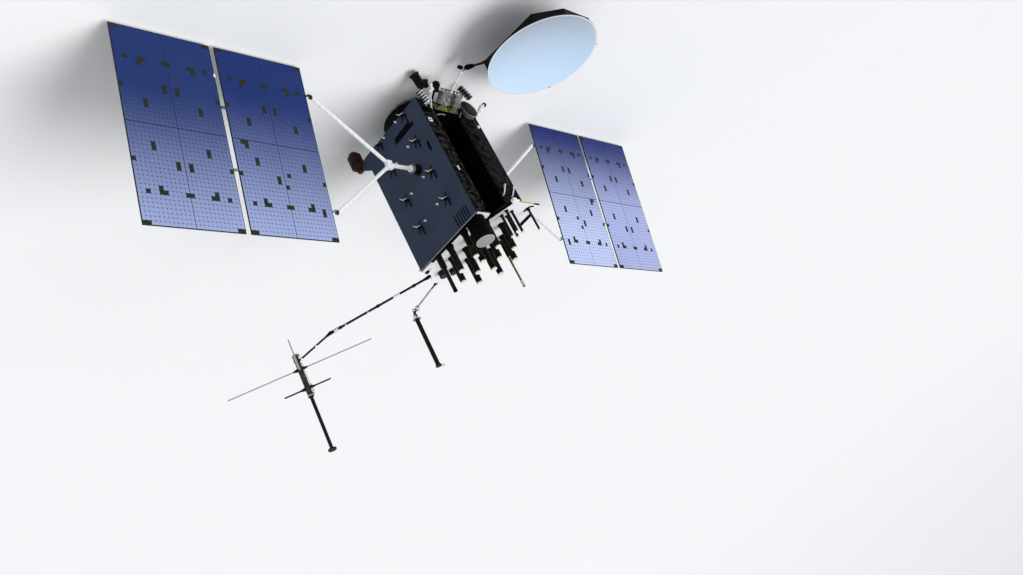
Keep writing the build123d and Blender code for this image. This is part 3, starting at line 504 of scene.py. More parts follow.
@dataclass(frozen=True)
class Dipoles:
    """Dipole rods: pale below a height and away from the mast, black elsewhere."""

    name: str
    centre: Point
    split: float
    reach: float
    pale: Colour = (0.42, 0.42, 0.40)
    black: Colour = (0.006, 0.006, 0.007)

    def material(self) -> bpy.types.Material:
        """Builds the rods' material."""
        graph = Graph(self.name)
        flat = graph.vector("MULTIPLY", graph.place, (1.0, 1.0, 0.0))
        away = graph.vector("DISTANCE", flat, (*self.centre, 0.0), output="Value")
        light = (graph.dot(graph.place, (0, 0, 1)) < self.split) * (away > self.reach)
        mottle = graph.noise(30.0)
        worn = graph.mix(mottle * 0.5, self.pale, scaled(self.pale, 0.6))
        return graph.surface(
            Base_Color=graph.mix(light, self.black, worn),
            Roughness=mottle.around(0.36, 0.2),
            Specular_IOR_Level=0.12,
        )


@dataclass(frozen=True)
class Finned:
    """Pale fins on a black core that runs along a line, with painted shade in the gaps between the fins where
    share is under 1.
    """

    name: str
    start: Point
    run: Point
    core: float
    colour: Colour
    worn: Colour
    share: float = 1.0
    pitch: float = 0.065
    limit: float = 0.105
    black: Colour = (0.003, 0.003, 0.004)

    def material(self) -> bpy.types.Material:
        """Builds the fins' material."""
        graph = Graph(self.name)
        local = graph.vector("SUBTRACT", graph.place, self.start)
        unit = tuple(Vector(self.run).normalized())
        reach = graph.vector("LENGTH", graph.vector("CROSS_PRODUCT", local, unit), output="Value")
        # Painted shade: the gaps between the fins are painted black.
        gap = (graph.dot(local, unit) / self.pitch).fract() > self.share
        dark = (((reach < self.core) + gap) * (reach < self.limit)).clamp()
        mottle = graph.noise(20.0)
        return graph.surface(
            Base_Color=graph.mix(dark, graph.mix(mottle, self.colour, self.worn), self.black),
            Roughness=mottle.around(0.45, 0.2),
            Specular_IOR_Level=0.2,
        )


class Coat(Enum):
    """The finishes that pieces and CAD nodes share."""

    BLACK = Foil("black_blanket", (0.002, 0.002, 0.003), (0.010, 0.009, 0.009), gloss=0.04)
    # Painted shade: the bay's blanket is a darker, glossless copy of the black blanket, so the recessed bay reads
    # as shade.
    SHADED_BAY = Foil("shaded_bay_blanket", (0.001, 0.001, 0.002), (0.004, 0.004, 0.005), 9.0, 0.03, gloss=0.0)
    # The near and far column blankets paint highlights along their crease ridges.
    NEAR = Foil(
        "near_blanket", (0.002, 0.002, 0.003), (0.034, 0.033, 0.029), 4.0, 0.03, gloss=0.0, ridge_highlights=0.85
    )
    FAR = Foil(
        "far_blanket", (0.001, 0.001, 0.002), (0.016, 0.016, 0.017), 5.0, 0.03, gloss=0.02, ridge_highlights=0.75
    )
    GREY = Foil("grey_wrap", (0.055, 0.054, 0.052), (0.330, 0.325, 0.315), 11.0, roughness=0.5)
    OLIVE = Foil("olive_foil", (0.034, 0.033, 0.010), (0.190, 0.182, 0.056), 10.0, 0.015, 0.4, 0.3)
    CASE = Foil("head_wrap", (0.006, 0.005, 0.005), (0.085, 0.072, 0.062), 16.0, 0.012, gloss=0.15)
    DRUM = Foil("drum_wrap", (0.010, 0.010, 0.010), (0.170, 0.168, 0.165), 8.0, 0.012, gloss=0.1)
    REDDISH = Foil("sensor_blanket", (0.003, 0.002, 0.002), (0.050, 0.014, 0.012), 8.0, gloss=0.1)
    WHITE = Paint("white_paint", (0.780, 0.785, 0.795), (0.690, 0.695, 0.705), slot=Slot.WHITE)
    CREAM = Paint("cream_cap", (0.760, 0.735, 0.610), (0.700, 0.670, 0.540), 0.45)
    LID = Paint("grey_lid", (0.270, 0.275, 0.285), (0.235, 0.240, 0.250), 0.55, 0.0, 12.0, 0.2, Slot.WHITE)
    DECK = Paint("deck_paint", (0.800, 0.805, 0.820), (0.700, 0.708, 0.730), 0.55, grain=3.0, gloss=0.2)
    SILVER = Paint("silver", (0.560, 0.565, 0.575), (0.400, 0.400, 0.410), 0.36, 0.8, slot=Slot.FITTING)
    RING = Paint("ring_alloy", (0.380, 0.380, 0.385), (0.290, 0.290, 0.295), 0.34, 0.9, 14.0, slot=Slot.RING)
    NOZZLE = Paint("nozzle", (0.055, 0.050, 0.048), (0.020, 0.018, 0.018), 0.36, 0.7, 10.0)
    DARK = Paint("dark_metal", (0.003, 0.003, 0.004), (0.012, 0.011, 0.011), 0.42, gloss=0.12)
    SOOT = Paint("flat_black", (0.001, 0.001, 0.002), (0.003, 0.003, 0.004), 0.6, gloss=0.03)
    FACE = Paint("sensor_face", (0.008, 0.008, 0.008), (0.045, 0.044, 0.043), grain=2.2, gloss=0.08)
    BRONZE = Paint("dark_bronze", (0.002, 0.002, 0.002), (0.022, 0.011, 0.006), 0.45, grain=20.0, gloss=0.05)
    WIRE = Paint("helix_wire", (0.022, 0.015, 0.009), (0.004, 0.003, 0.003), 0.4, gloss=0.15, slot=Slot.HELIX)
    GOLD = Paint("gold_rod", (0.210, 0.150, 0.036), (0.060, 0.042, 0.014), 0.38, 0.5, slot=Slot.GOLD)
    CAP = Paint("dark_gold", (0.020, 0.017, 0.004), (0.008, 0.007, 0.003), gloss=0.05, slot=Slot.GOLD)
    YELLOW = Paint("yellow_tape", (0.520, 0.470, 0.060), (0.360, 0.320, 0.040), 0.4, slot=Slot.GOLD)
    PATCH = Paint("bare_patch", (0.017, 0.022, 0.008), (0.009, 0.012, 0.007), grain=60.0, gloss=0.12)
    RUST = Paint("rust_patch", (0.050, 0.019, 0.014), (0.028, 0.012, 0.009), grain=60.0, gloss=0.12)
    LINE = Paint("panel_line", (0.010, 0.013, 0.024), (0.018, 0.022, 0.040), grain=60.0, gloss=0.1)

    @cache
    def material(self) -> bpy.types.Material:
        """The coat's material, made once."""
        return self.value.material()


def dress(finish: Coat | Banded | Tiles | Cells | Bowl | Dipoles | Finned, *nodes: str) -> None:
    """Gives CAD nodes their material.

    Args:
        finish: the finish.
        nodes: the nodes' names.
    """
    material = finish.material()
    for node in nodes:
        slots = frame["nodes"][node].data.materials
        slots.clear()
        slots.append(material)


def joint(name: str) -> dict:
    """The frame's joint of that name."""
    return next(entry for entry in frame["joints"] if entry["name"] == name)


def low(node: str) -> Vector:
    """Lowest corner of a CAD node."""
    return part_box(node)[0]


def high(node: str) -> Vector:
    """Highest corner of a CAD node."""
    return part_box(node)[1]


def shift(x: float = 0.0, y: float = 0.0, z: float = 0.0) -> Matrix:
    """Frame at a point, with the row frame's directions."""
    return Matrix.Translation((x, y, z))


def spoke(turns: float, radius: float = 1.0, height: float = 0.0) -> Vector:
    """Point round the Z axis, at a number of full turns from X."""
    return Vector((radius * math.cos(math.tau * turns), radius * math.sin(math.tau * turns), height))


def hoop(inner: float, outer: float, foot: float, head: float) -> Pairs:
    """Profile of a plain ring."""
    return ((inner, foot), (outer, foot), (outer, head), (inner, head))


@dataclass(frozen=True)
class Rod:
    """A round bar or cone; tip is the radius at its end, or 0 where it is the same."""

    start: Point
    end: Point
    radius: float
    tip: float = 0.0
    sides: int = 20

    def add(self, mesh: bmesh.types.BMesh, place: Matrix) -> None:
        """Adds the bar.

        Args:
            mesh: the mesh that it goes into.
            place: the frame of its numbers.
        """
        start, end = place @ Vector(self.start), place @ Vector(self.end)
        axis = end - start
        turn = axis.to_track_quat("Z", "Y").to_matrix().to_4x4()
        bmesh.ops.create_cone(
            mesh,
            cap_ends=True,
            segments=self.sides,
            radius1=self.radius,
            radius2=self.tip or self.radius,
            depth=axis.length,
            matrix=Matrix.Translation((start + end) / 2) @ turn,
        )


@dataclass(frozen=True)
class Turned:
    """A closed profile of (radius, height) pairs turned round an axis through its base."""

    base: Point
    profile: Pairs
    sides: int = 32
    axis: Point = (0.0, 0.0, 1.0)

    def add(self, mesh: bmesh.types.BMesh, place: Matrix) -> None:
        """Adds the turned form.

        Args:
            mesh: the mesh that it goes into.
            place: the frame of its numbers.
        """
        turn = (place.to_3x3() @ Vector(self.axis)).to_track_quat("Z", "Y").to_matrix()
        base = place @ Vector(self.base)
        rings = [
            [mesh.verts.new(base + turn @ spoke(index / self.sides, *pair)) for pair in self.profile]
            for index in range(self.sides)
        ]
        for here, following in zip(rings, rings[1:] + rings[:1]):
            for step in range(len(self.profile)):
                after = (step + 1) % len(self.profile)
                mesh.faces.new((here[step], following[step], following[after], here[after]))
        bmesh.ops.remove_doubles(mesh, verts=[vertex for ring in rings for vertex in ring], dist=1e-6)


@dataclass(frozen=True)
class Block:
    """A box, its edges chamfered where that is not 0, spun in radians about its height."""

    centre: Point
    size: Point
    chamfer: float = 0.0
    spin: float = 0.0

    def add(self, mesh: bmesh.types.BMesh, place: Matrix) -> None:
        """Adds the box.

        Args:
            mesh: the mesh that it goes into.
            place: the frame of its numbers.
        """
        turn = Matrix.Rotation(self.spin, 4, "Z") @ Matrix.Diagonal((*self.size, 1.0))
        matrix = place @ Matrix.Translation(self.centre) @ turn
        made = bmesh.ops.create_cube(mesh, size=1.0, matrix=matrix)["verts"]
        if self.chamfer:
            edges = list({edge for vertex in made for edge in vertex.link_edges})
            bmesh.ops.bevel(mesh, geom=edges, offset=self.chamfer, segments=1, affect="EDGES")


@dataclass(frozen=True)
class Cable:
    """A tube along a smooth line near its points."""

    points: Sequence[Point]
    radius: float
    detail: int = 2

    def add(self, mesh: bmesh.types.BMesh, place: Matrix) -> None:
        """Adds the tube.

        Args:
            mesh: the mesh that it goes into.
            place: the frame of its numbers.
        """
        curve = bpy.data.curves.new("line", "CURVE")
        curve.dimensions = "3D"
        curve.bevel_depth = self.radius
        curve.bevel_resolution = self.detail
        curve.use_fill_caps = True
        curve.resolution_u = 6
        spline = curve.splines.new("NURBS")
        spline.points.add(len(self.points) - 1)
        for point, spot in zip(spline.points, self.points):
            point.co = (*(place @ Vector(spot)), 1.0)
        spline.order_u = 4
        spline.use_endpoint_u = True
        holder = bpy.data.objects.new("line", curve)
        tube = bpy.data.meshes.new_from_object(holder)
        mesh.from_mesh(tube)
        bpy.data.objects.remove(holder)
        bpy.data.meshes.remove(tube)


@dataclass(frozen=True)
class Plate:
    """A flat plate, from its corners in order and the step between its faces."""

    outline: Sequence[Point]
    step: Point

    def add(self, mesh: bmesh.types.BMesh, place: Matrix) -> None:
        """Adds the plate.

        Args:
            mesh: the mesh that it goes into.
            place: the frame of its numbers.
        """
        corners = [Vector(point) for point in self.outline]
        near = [mesh.verts.new(place @ corner) for corner in corners]
        far = [mesh.verts.new(place @ (corner + Vector(self.step))) for corner in corners]
        mesh.faces.new(near)
        mesh.faces.new(far)
        for index, vertex in enumerate(near):
            after = (index + 1) % len(near)
            mesh.faces.new((vertex, near[after], far[after], far[index]))


@dataclass(frozen=True)
class Sheet:
    """A crumpled rectangle with a flat back, with V-shaped folds up it where chevrons is not 0."""

    corner: Point
    across: Point
    up: Point
    counts: tuple[int, int]
    lift: Point
    crumple: float
    seed: int
    chevrons: float = 0.0

    def height(self, point: Vector, s: float, t: float) -> float:
        """Height of the crumples, from 0 at the edges to about 1.

        Args:
            point: place on the sheet.
            s: share of the way across.
            t: share of the way up.

        Returns:
            The height.
        """
        offset = Vector((self.seed * 3.7, self.seed * 1.9, self.seed * 5.3))
        edge = min(1.0, 8 * min(s, 1 - s), 24 * min(t, 1 - t))
        large = 1 - min(1, 2.6 * abs(noise.noise(point * 3.4 + offset)))
        small = 1 - min(1, 2.6 * abs(noise.noise(point * 8.6 - offset)))
        height = 0.55 * large * large + 0.30 * small
        if self.chevrons:
            wave = (t * self.chevrons + 1.3 * abs(s - 0.45)) % 1.0
            height = 0.45 * height + 0.60 * (1 - 2 * abs(wave - 0.5)) ** 2
        return edge * height

    def add(self, mesh: bmesh.types.BMesh, place: Matrix) -> None:
        """Adds the sheet.

        Args:
            mesh: the mesh that it goes into.
            place: the frame of its numbers.
        """
        across, up = self.counts
        lift = place.to_3x3() @ Vector(self.lift)
        front, back = {}, {}
        for i, j in product(range(across + 1), range(up + 1)):
            s, t = i / across, j / up
            point = place @ (Vector(self.corner) + Vector(self.across) * s + Vector(self.up) * t)
            rise = self.crumple * self.height(point, s, t) + 0.002
            front[i, j] = mesh.verts.new(point + lift * rise)
            back[i, j] = mesh.verts.new(point)
        for i, j in product(range(across), range(up)):
            corners = ((i, j), (i + 1, j), (i + 1, j + 1), (i, j + 1))
            mesh.faces.new([front[key] for key in corners])
            mesh.faces.new([back[key] for key in corners[::-1]])
        rim = [(i, 0) for i in range(across)] + [(across, j) for j in range(up)]
        rim += [(i, up) for i in range(across, 0, -1)] + [(0, j) for j in range(up, 0, -1)]
        for here, after in zip(rim, rim[1:] + rim[:1]):
            mesh.faces.new((front[here], front[after], back[after], back[here]))


Solids = Sequence[Rod | Turned | Block | Cable | Plate | Sheet]


@dataclass
class Piece:
    """One piece, its solids gathered in one mesh.

    Sharp edges get a bevel, and edges flatter than smooth, in degrees, are shaded smooth.
    """

    name: str
    coat: Coat
    solids: Solids
    place: Matrix = ROW_FRAME
    body: str = Body.BUS
    bevel: float = 0.0
    smooth: float = 35.0
    slot: Slot | None = None

    def __post_init__(self) -> None:
        """Takes the coat's slot where no other is named."""
        self.slot = self.slot or self.coat.value.slot

    def build(self) -> None:
        """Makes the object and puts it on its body."""
        mesh = bmesh.new()
        for solid in self.solids:
            solid.add(mesh, self.place)
        bmesh.ops.recalc_face_normals(mesh, faces=mesh.faces)
        data = bpy.data.meshes.new(self.name)
        mesh.to_mesh(data)
        mesh.free()
        data.materials.append(self.coat.material())
        data.shade_smooth()
        data.set_sharp_from_angle(angle=math.radians(self.smooth))
        made = bpy.data.objects.new(self.name, data)
        bpy.context.scene.collection.objects.link(made)
        if self.bevel:
            edge = made.modifiers.new("edge", "BEVEL")
            edge.width = self.bevel
            edge.segments = 2
            edge.limit_method = "ANGLE"
            edge.harden_normals = True
        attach(made, self.body)
        log.info("%s: %d faces", self.name, len(data.polygons))


@dataclass
class Bus:
    """The box body with its radiators, columns and bay."""

    tile_colours: tuple[Colour, Colour] = ((0.037, 0.050, 0.084), (0.028, 0.038, 0.066))
    post_radius: float = 0.012
    post_taper: float = 0.6
    post_arms: Pairs = ((-0.072, -0.092), (0.112, 0.033))
    post_tip: tuple[float, float, int] = (0.022, 0.015, 14)
    # Black bars on the radiator below each post, partly a black part and partly the posts' painted cast shadow.
    bar_and_shadow_size: Point = (0.030, 0.020, 0.210)
    bar_and_shadow_offset: Point = (0.068, 0.008, 0.115)
    # Outlines of the black plates that paint the shade of two slots on the left radiator.
    slots: tuple[Pairs, ...] = (
        ((0.543, 0.854), (0.572, 1.005), (-0.007, 1.023), (-0.039, 0.880)),
        ((0.712, 1.628), (0.782, 1.669), (0.753, 1.855), (0.684, 1.838)),
    )
    cone_columns: tuple[float, ...] = (-0.500, 0.460)
    cone_rows: tuple[float, ...] = (0.063, 0.833, 1.708, 2.468)
    knob_columns: Pairs = ((-0.265, 0.0), (0.225, -0.055))
    knob_foot: float = 0.040
    knob: Pairs = (
        (0, 0), (0.024, 0), (0.024, 0.010), (0.015, 0.016), (0.021, 0.036), (0.012, 0.052), (0, 0.052),
    )
    bay_floor: float = 0.360
    sill: float = 0.900
    inset: float = 0.020
    rungs: tuple[int, float, float] = (5, 0.300, 0.560)
    rung_size: tuple[float, float] = (0.090, 0.035)
    cables: Solids = (
        Cable(
            ((0.030, -0.575, 0.585), (0.055, -0.520, 0.660), (0.050, -0.400, 0.760), (0.030, -0.274, 0.931)),
            0.01,
        ),
        Cable(
            ((0.020, 0.478, 1.020), (0.030, 0.420, 0.985), (0.020, 0.300, 0.930), (-0.010, 0.144, 0.912)),
            0.01,
        ),
    )
    struts: tuple[tuple[Point, Point], ...] = (
        ((0.060, -0.305, 3.221), (0.060, -0.548, 2.891)),
        ((0.060, -0.575, 3.232), (0.060, -0.835, 2.905)),
    )
    strut_radii: tuple[float, float] = (0.014, 0.012)
    stud_places: tuple[float, float] = (0.05, 0.95)
    column_sheet: tuple[tuple[int, int], float] = ((22, 150), 0.040)
    wall_sheet: tuple[tuple[int, int], float] = ((18, 70), 0.045)
    quilt_sheet: tuple[tuple[int, int], float] = ((24, 24), 0.03)
    quilt_start: float = 0.250
    quilt_pitch: float = 0.950
    quilt_gap: float = 0.040

    def build(self) -> None:
        """Dresses the body and adds its fittings."""
        dress(Coat.BLACK, "aft_deck", "back_panel")
        dress(Coat.SHADED_BAY, "body_core")
        dress(Coat.NEAR, "left_column")
        dress(Coat.FAR, "right_column")
        tiles = Tiles("radiator_tiles", *self.tile_colours, high("left_radiator").y)
        dress(tiles, "left_radiator", "right_radiator")
        dress(Coat.DARK, "left_holddowns", "right_holddowns")
        for side, name in ((1, "left"), (-1, "right")):
            self.holddowns(side, name)
        self.trim()
        self.blankets()
        self.bay()
        self.back()

    def holddowns(self, side: int, name: str) -> None:
        """Adds the hold-downs' bright tips and V of wires, dark bars and release knobs; the dark bars lie on the
        radiator below each post and stand partly for a black part, partly for the posts' painted cast shadows.

        Args:
            side: 1 on the left and -1 on the right.
            name: the side's word.
        """
        face = high("left_radiator").y
        y = side * (high("left_holddowns").y - 0.006)
        aside, out, rise = self.bar_and_shadow_offset
        bars_and_shadows, posts = [], []
        for x, z in product(self.cone_columns, self.cone_rows):
            posts.append(Rod((x, y, z), (x, y + side * 0.020, z), *self.post_tip))
            for dx, dz in self.post_arms:
                end = (x + dx, y, z + dz)
                posts.append(Rod((x, y, z), end, self.post_radius, self.post_radius * self.post_taper, 10))
            # Painted shadow, in part: a black bar laid on the radiator along +Z from each post.
            bars_and_shadows.append(Block((x + aside, side * (face + out), z + rise), self.bar_and_shadow_size, 0.003))
        knobs = [
            Turned((x, side * face, max(z + drop, self.knob_foot)), self.knob, 16, (0, side, 0))
            for (x, drop), z in product(self.knob_columns, self.cone_rows)
        ]
        base = shift(z=low("left_radiator").z)
        Piece(f"{name}_holddown_bars", Coat.SOOT, bars_and_shadows, base, bevel=0.001).build()
        Piece(f"{name}_holddown_posts", Coat.SILVER, posts, base).build()
        Piece(f"{name}_knobs", Coat.WHITE, knobs, base).build()

    def trim(self) -> None:
        """Adds the bright line along the left radiator's nadir edge, and black plates that stand for the shade in
        its two dark access slots (painted shade).
        """
        hi = high("left_radiator")
        length = 2 * high("right_radiator").x - 0.02
        line = Block((0, hi.y + 0.001, hi.z - 0.006), (length, 0.004, 0.008), 0.001)
        Piece("left_radiator_trim", Coat.SILVER, [line]).build()
        # Painted shade: thin black plates on the radiator face where its two slots show dark.
        slots = [Plate([(x, -0.002, z) for x, z in outline], (0, 0.003, 0)) for outline in self.slots]
        Piece("left_radiator_slot_shades", Coat.SOOT, slots, shift(y=hi.y)).build()

    def blankets(self) -> None:
        """Adds the crumpled blankets on the fronts of the two columns."""
        for node, coat, chevrons, seed in (
            ("left_column", Coat.NEAR, 0.0, 3),
            ("right_column", Coat.FAR, 9.0, 4),
        ):
            lo, hi = low(node), high(node)
            across, up = (0, hi.y - lo.y, 0), (0, 0, hi.z - lo.z - 2 * self.inset)
            corner = (hi.x, lo.y, lo.z + self.inset)
            counts, crumple = self.column_sheet
            sheet = Sheet(corner, across, up, counts, (1, 0, 0), crumple, seed, chevrons)
            Piece(f"{node}_blanket", coat, [sheet], smooth=50).build()

    def bay(self) -> None:
        """Adds the bay's blankets and frames, its two pale cables and the far column's two rods."""
        left, right = low("left_column").y, high("right_column").y
        front, top = high("left_column").x, high("left_column").z
        inset, floor, sill = self.inset, self.bay_floor, self.sill
        across, up = (front - floor - 2 * inset, 0, 0), (0, 0, top - sill - 2 * inset)
        counts, crumple = self.wall_sheet
        walls = [
            Sheet((floor + inset, y, sill + inset), across, up, counts, (0, inwards, 0), crumple, seed)
            for y, inwards, seed in ((left, -1, 5), (right, 1, 6))
        ]
        # The bay's walls wear the darker bay blanket that paints the recess's shade.
        Piece("bay_walls", Coat.SHADED_BAY, walls, smooth=40).build()
        count, first, pitch = self.rungs
        deep, tall = self.rung_size
        middle, size = (left + right) / 2, (deep, left - right - 0.1, tall)
        frames = [Block((floor + 0.05, middle, sill + first + n * pitch), size, 0.006) for n in range(count)]
        Piece("bay_frames", Coat.SOOT, frames, bevel=0.002).build()
        Piece("bay_cables", Coat.SILVER, self.cables, shift(front)).build()
        struts = []
        for start, end in self.struts:
            struts.append(Rod(start, end, self.strut_radii[0], sides=12))
            for share in self.stud_places:
                foot = Vector(start).lerp(Vector(end), share)
                struts.append(Rod((0, foot.y, foot.z), foot, self.strut_radii[1], sides=10))
        Piece("column_struts", Coat.WHITE, struts, shift(front)).build()

    def back(self) -> None:
        """Adds the blankets of the back panel, quilted in two columns of three."""
        lo, hi = low("back_panel"), high("back_panel")
        half = (hi.y - lo.y) / 2
        across, up = (0, half - self.quilt_gap, 0), (0, 0, self.quilt_pitch - self.quilt_gap)
        counts, crumple = self.quilt_sheet
        sheets = []
        for column, row in product(range(2), range(3)):
            z = lo.z + self.quilt_start + row * self.quilt_pitch
            corner = (lo.x, lo.y + self.quilt_gap / 2 + column * half, z)
            seed = 10 + column * 3 + row
            sheets.append(Sheet(corner, across, up, counts, (-1, 0, 0), crumple, seed))
        Piece("back_blanket", Coat.BLACK, sheets, smooth=40).build()


@dataclass
class Deck:
    """The white antenna deck with its helices, can and masts."""

    outline: Pairs = (
        (-0.990, 0.848), (0.900, 0.848), (0.900, 0.300), (0.700, 0.260), (1.070, 0.140), (1.250, 0.020),
        (1.360, 0.020), (1.360, -0.848), (-1.040, -0.848), (-1.240, -0.450), (-1.340, -0.280),
        (-1.500, -0.210), (-1.520, -0.020), (-1.460, 0.130), (-1.260, 0.310), (-1.190, 0.610),
    )
    edge_thickness: float = 0.006
    centre: tuple[float, float] = (0.0, -0.050)
    rings: tuple[tuple[float, int, float], ...] = ((0.283, 4, -22.5), (0.665, 8, 22.5))
    rod_radius: float = 0.070
    wire_radius: float = 0.006
    wire_ends: tuple[float, float] = (0.120, 0.050)
    turns: int = 9
    steps: int = 108
    band_heights: tuple[float, ...] = (0.030, 0.270, 0.520)
    beams: Solids = (
        Block(
            (1.010, 0.149, 0.022), (math.hypot(0.640, 0.258), 0.055, 0.044), 0.006, math.atan2(-0.258, 0.640)
        ),
        Block((0.860, -0.835, 0.028), (0.450, 0.030, 0.056), 0.005),
        Block((-0.180, 0.645, 0.003), (1.280, 0.110, 0.006), 0.001),
    )
    arc: Pairs = ((1.103, -0.582), (1.180, -0.560), (1.259, -0.586), (1.290, -0.640), (1.297, -0.701))
    ledge: Solids = (Block((0.860, -0.846, 0.003), (0.460, 0.018, 0.006), 0.001),)
    strip: Solids = (Block((1.370, -0.394, 0.001), (0.044, 0.517, 0.008), 0.002),)
    strip_end: Solids = (
        Block((1.368, -0.746, 0.001), (0.040, 0.188, 0.008), 0.002),
        Rod((-0.600, 0.620, 0.890), (-0.600, 0.620, 0.945), 0.0465, sides=24),
        Rod((0.080, -0.745, 0.0), (0.080, -0.745, 0.430), 0.0335),
        Block((-1.150, 0.520, 0.016), (0.100, 0.070, 0.032), 0.005),
    )
    brackets: Solids = (
        Block((1.375, -0.010, -0.004), (0.100, 0.110, 0.080), 0.010),
        Block((1.390, -0.100, 0.008), (0.060, 0.090, 0.040), 0.006),
        Rod((1.350, 0.045, -0.010), (1.350, 0.045, 0.050), 0.018, 0.014, 14),
        Rod((-1.105, 0.772, 0.0), (-1.105, 0.772, 0.050), 0.034, 0.026, 16),
        Block((-1.060, 0.495, 0.014), (0.070, 0.050, 0.028), 0.005),
    )
    column_fitting: Solids = (Block((0.018, 0.700, 2.588), (0.036, 0.030, 0.120), 0.006),)
    mast_tip: Solids = (Turned((0, 0, -0.150), hoop(0.030, 0.0335, 0.0, 0.130), 20),)

    def build(self) -> None:
        """Dresses the deck and adds its fittings."""
        dress(Coat.DECK, "antenna_deck")
        dress(Coat.BRONZE, "helix_bodies")
        dress(Coat.CREAM, "antenna_caps")
        dress(Coat.SOOT, "receiver_can")
        dress(Coat.DARK, "deck_masts")
        dress(Coat.GOLD, "gold_mast")
        self.edge()
        self.helices()
        self.lids()
        top = shift(z=high("antenna_deck").z)
        arc = Cable([(x, y, 0.012) for x, y in self.arc], 0.016, 3)
        for name, coat, solids, bevel in (
            ("deck_beams", Coat.SOOT, (*self.beams, arc), 0.001),
            ("deck_ledge", Coat.SILVER, self.ledge, 0.0),
            ("deck_strip", Coat.YELLOW, self.strip, 0.0),
            ("deck_strip_end", Coat.SOOT, self.strip_end, 0.001),
            ("deck_brackets", Coat.WHITE, self.brackets, 0.002),
        ):
            Piece(name, coat, solids, top, bevel=bevel).build()
        front = shift(high("left_column").x)
        Piece("column_fitting", Coat.WHITE, self.column_fitting, front, bevel=0.002).build()
        mast = (low("gold_mast") + high("gold_mast")) / 2
        crown = shift(mast.x, mast.y, high("gold_mast").z)
        Piece("gold_mast_tip", Coat.SILVER, self.mast_tip, crown).build()

    def edge(self) -> None:
        """Adds the dark edge band under the deck's rim."""
        lo, hi = low("antenna_deck"), high("antenna_deck")
        corners = [Vector((x, y, 0)) for x, y in self.outline]
        rise = Vector((0, 0, hi.z - lo.z - 0.004))
        plates = []
        for here, after in zip(corners, corners[1:] + corners[:1]):
            run = (after - here).normalized()
            outward = Vector((run.y, -run.x, 0))
            if outward.dot((here + after) / 2) < 0 and abs(here.x) < 1.2:
                outward = -outward
            plates.append(Plate([here, after, after + rise, here + rise], outward * self.edge_thickness))
        Piece("deck_edge", Coat.DARK, plates, shift(z=lo.z)).build()

    def helices(self) -> None:
        """Winds the wire of each helix round its rod."""
        base = high("antenna_deck").z
        radius = self.rod_radius + self.wire_radius * 0.5
        start = self.wire_ends[0]
        rise = high("helix_bodies").z - base - sum(self.wire_ends)
        shares = [step / self.steps for step in range(self.steps + 1)]
        wires = []
        for ring, count, first in self.rings:
            for index in range(count):
                foot = spoke(first / 360 + index / count, ring)
                points = [foot + spoke(self.turns * share, radius, start + rise * share) for share in shares]
                wires.append(Cable(points, self.wire_radius, 1))
        Piece("helix_wires", Coat.WIRE, wires, shift(*self.centre, base)).build()

    def lids(self) -> None:
        """Adds the can's grey lid and dark bands."""
        lo, hi = low("receiver_can"), high("receiver_can")
        centre = (lo + hi) / 2
        radius = (hi.x - lo.x) / 2
        inner = radius - 0.002
        profile = (
            (0.0, 0.0205),
            (radius - 0.010, 0.0205),
            (inner, 0.016),
            (inner, 0.002),
            (radius - 0.0035, 0.001),
            (radius - 0.0035, 0.019),
            (0.0, 0.0201),
        )
        crown = shift(centre.x, centre.y, hi.z)
        Piece("can_lid", Coat.LID, [Turned((0, 0, 0), profile, 64)], crown).build()
        band = hoop(inner, radius + 0.004, -0.012, 0.012)
        bands = [Turned((0, 0, height), band, 64) for height in self.band_heights]
        Piece("can_bands", Coat.SOOT, bands, shift(centre.x, centre.y, lo.z)).build()


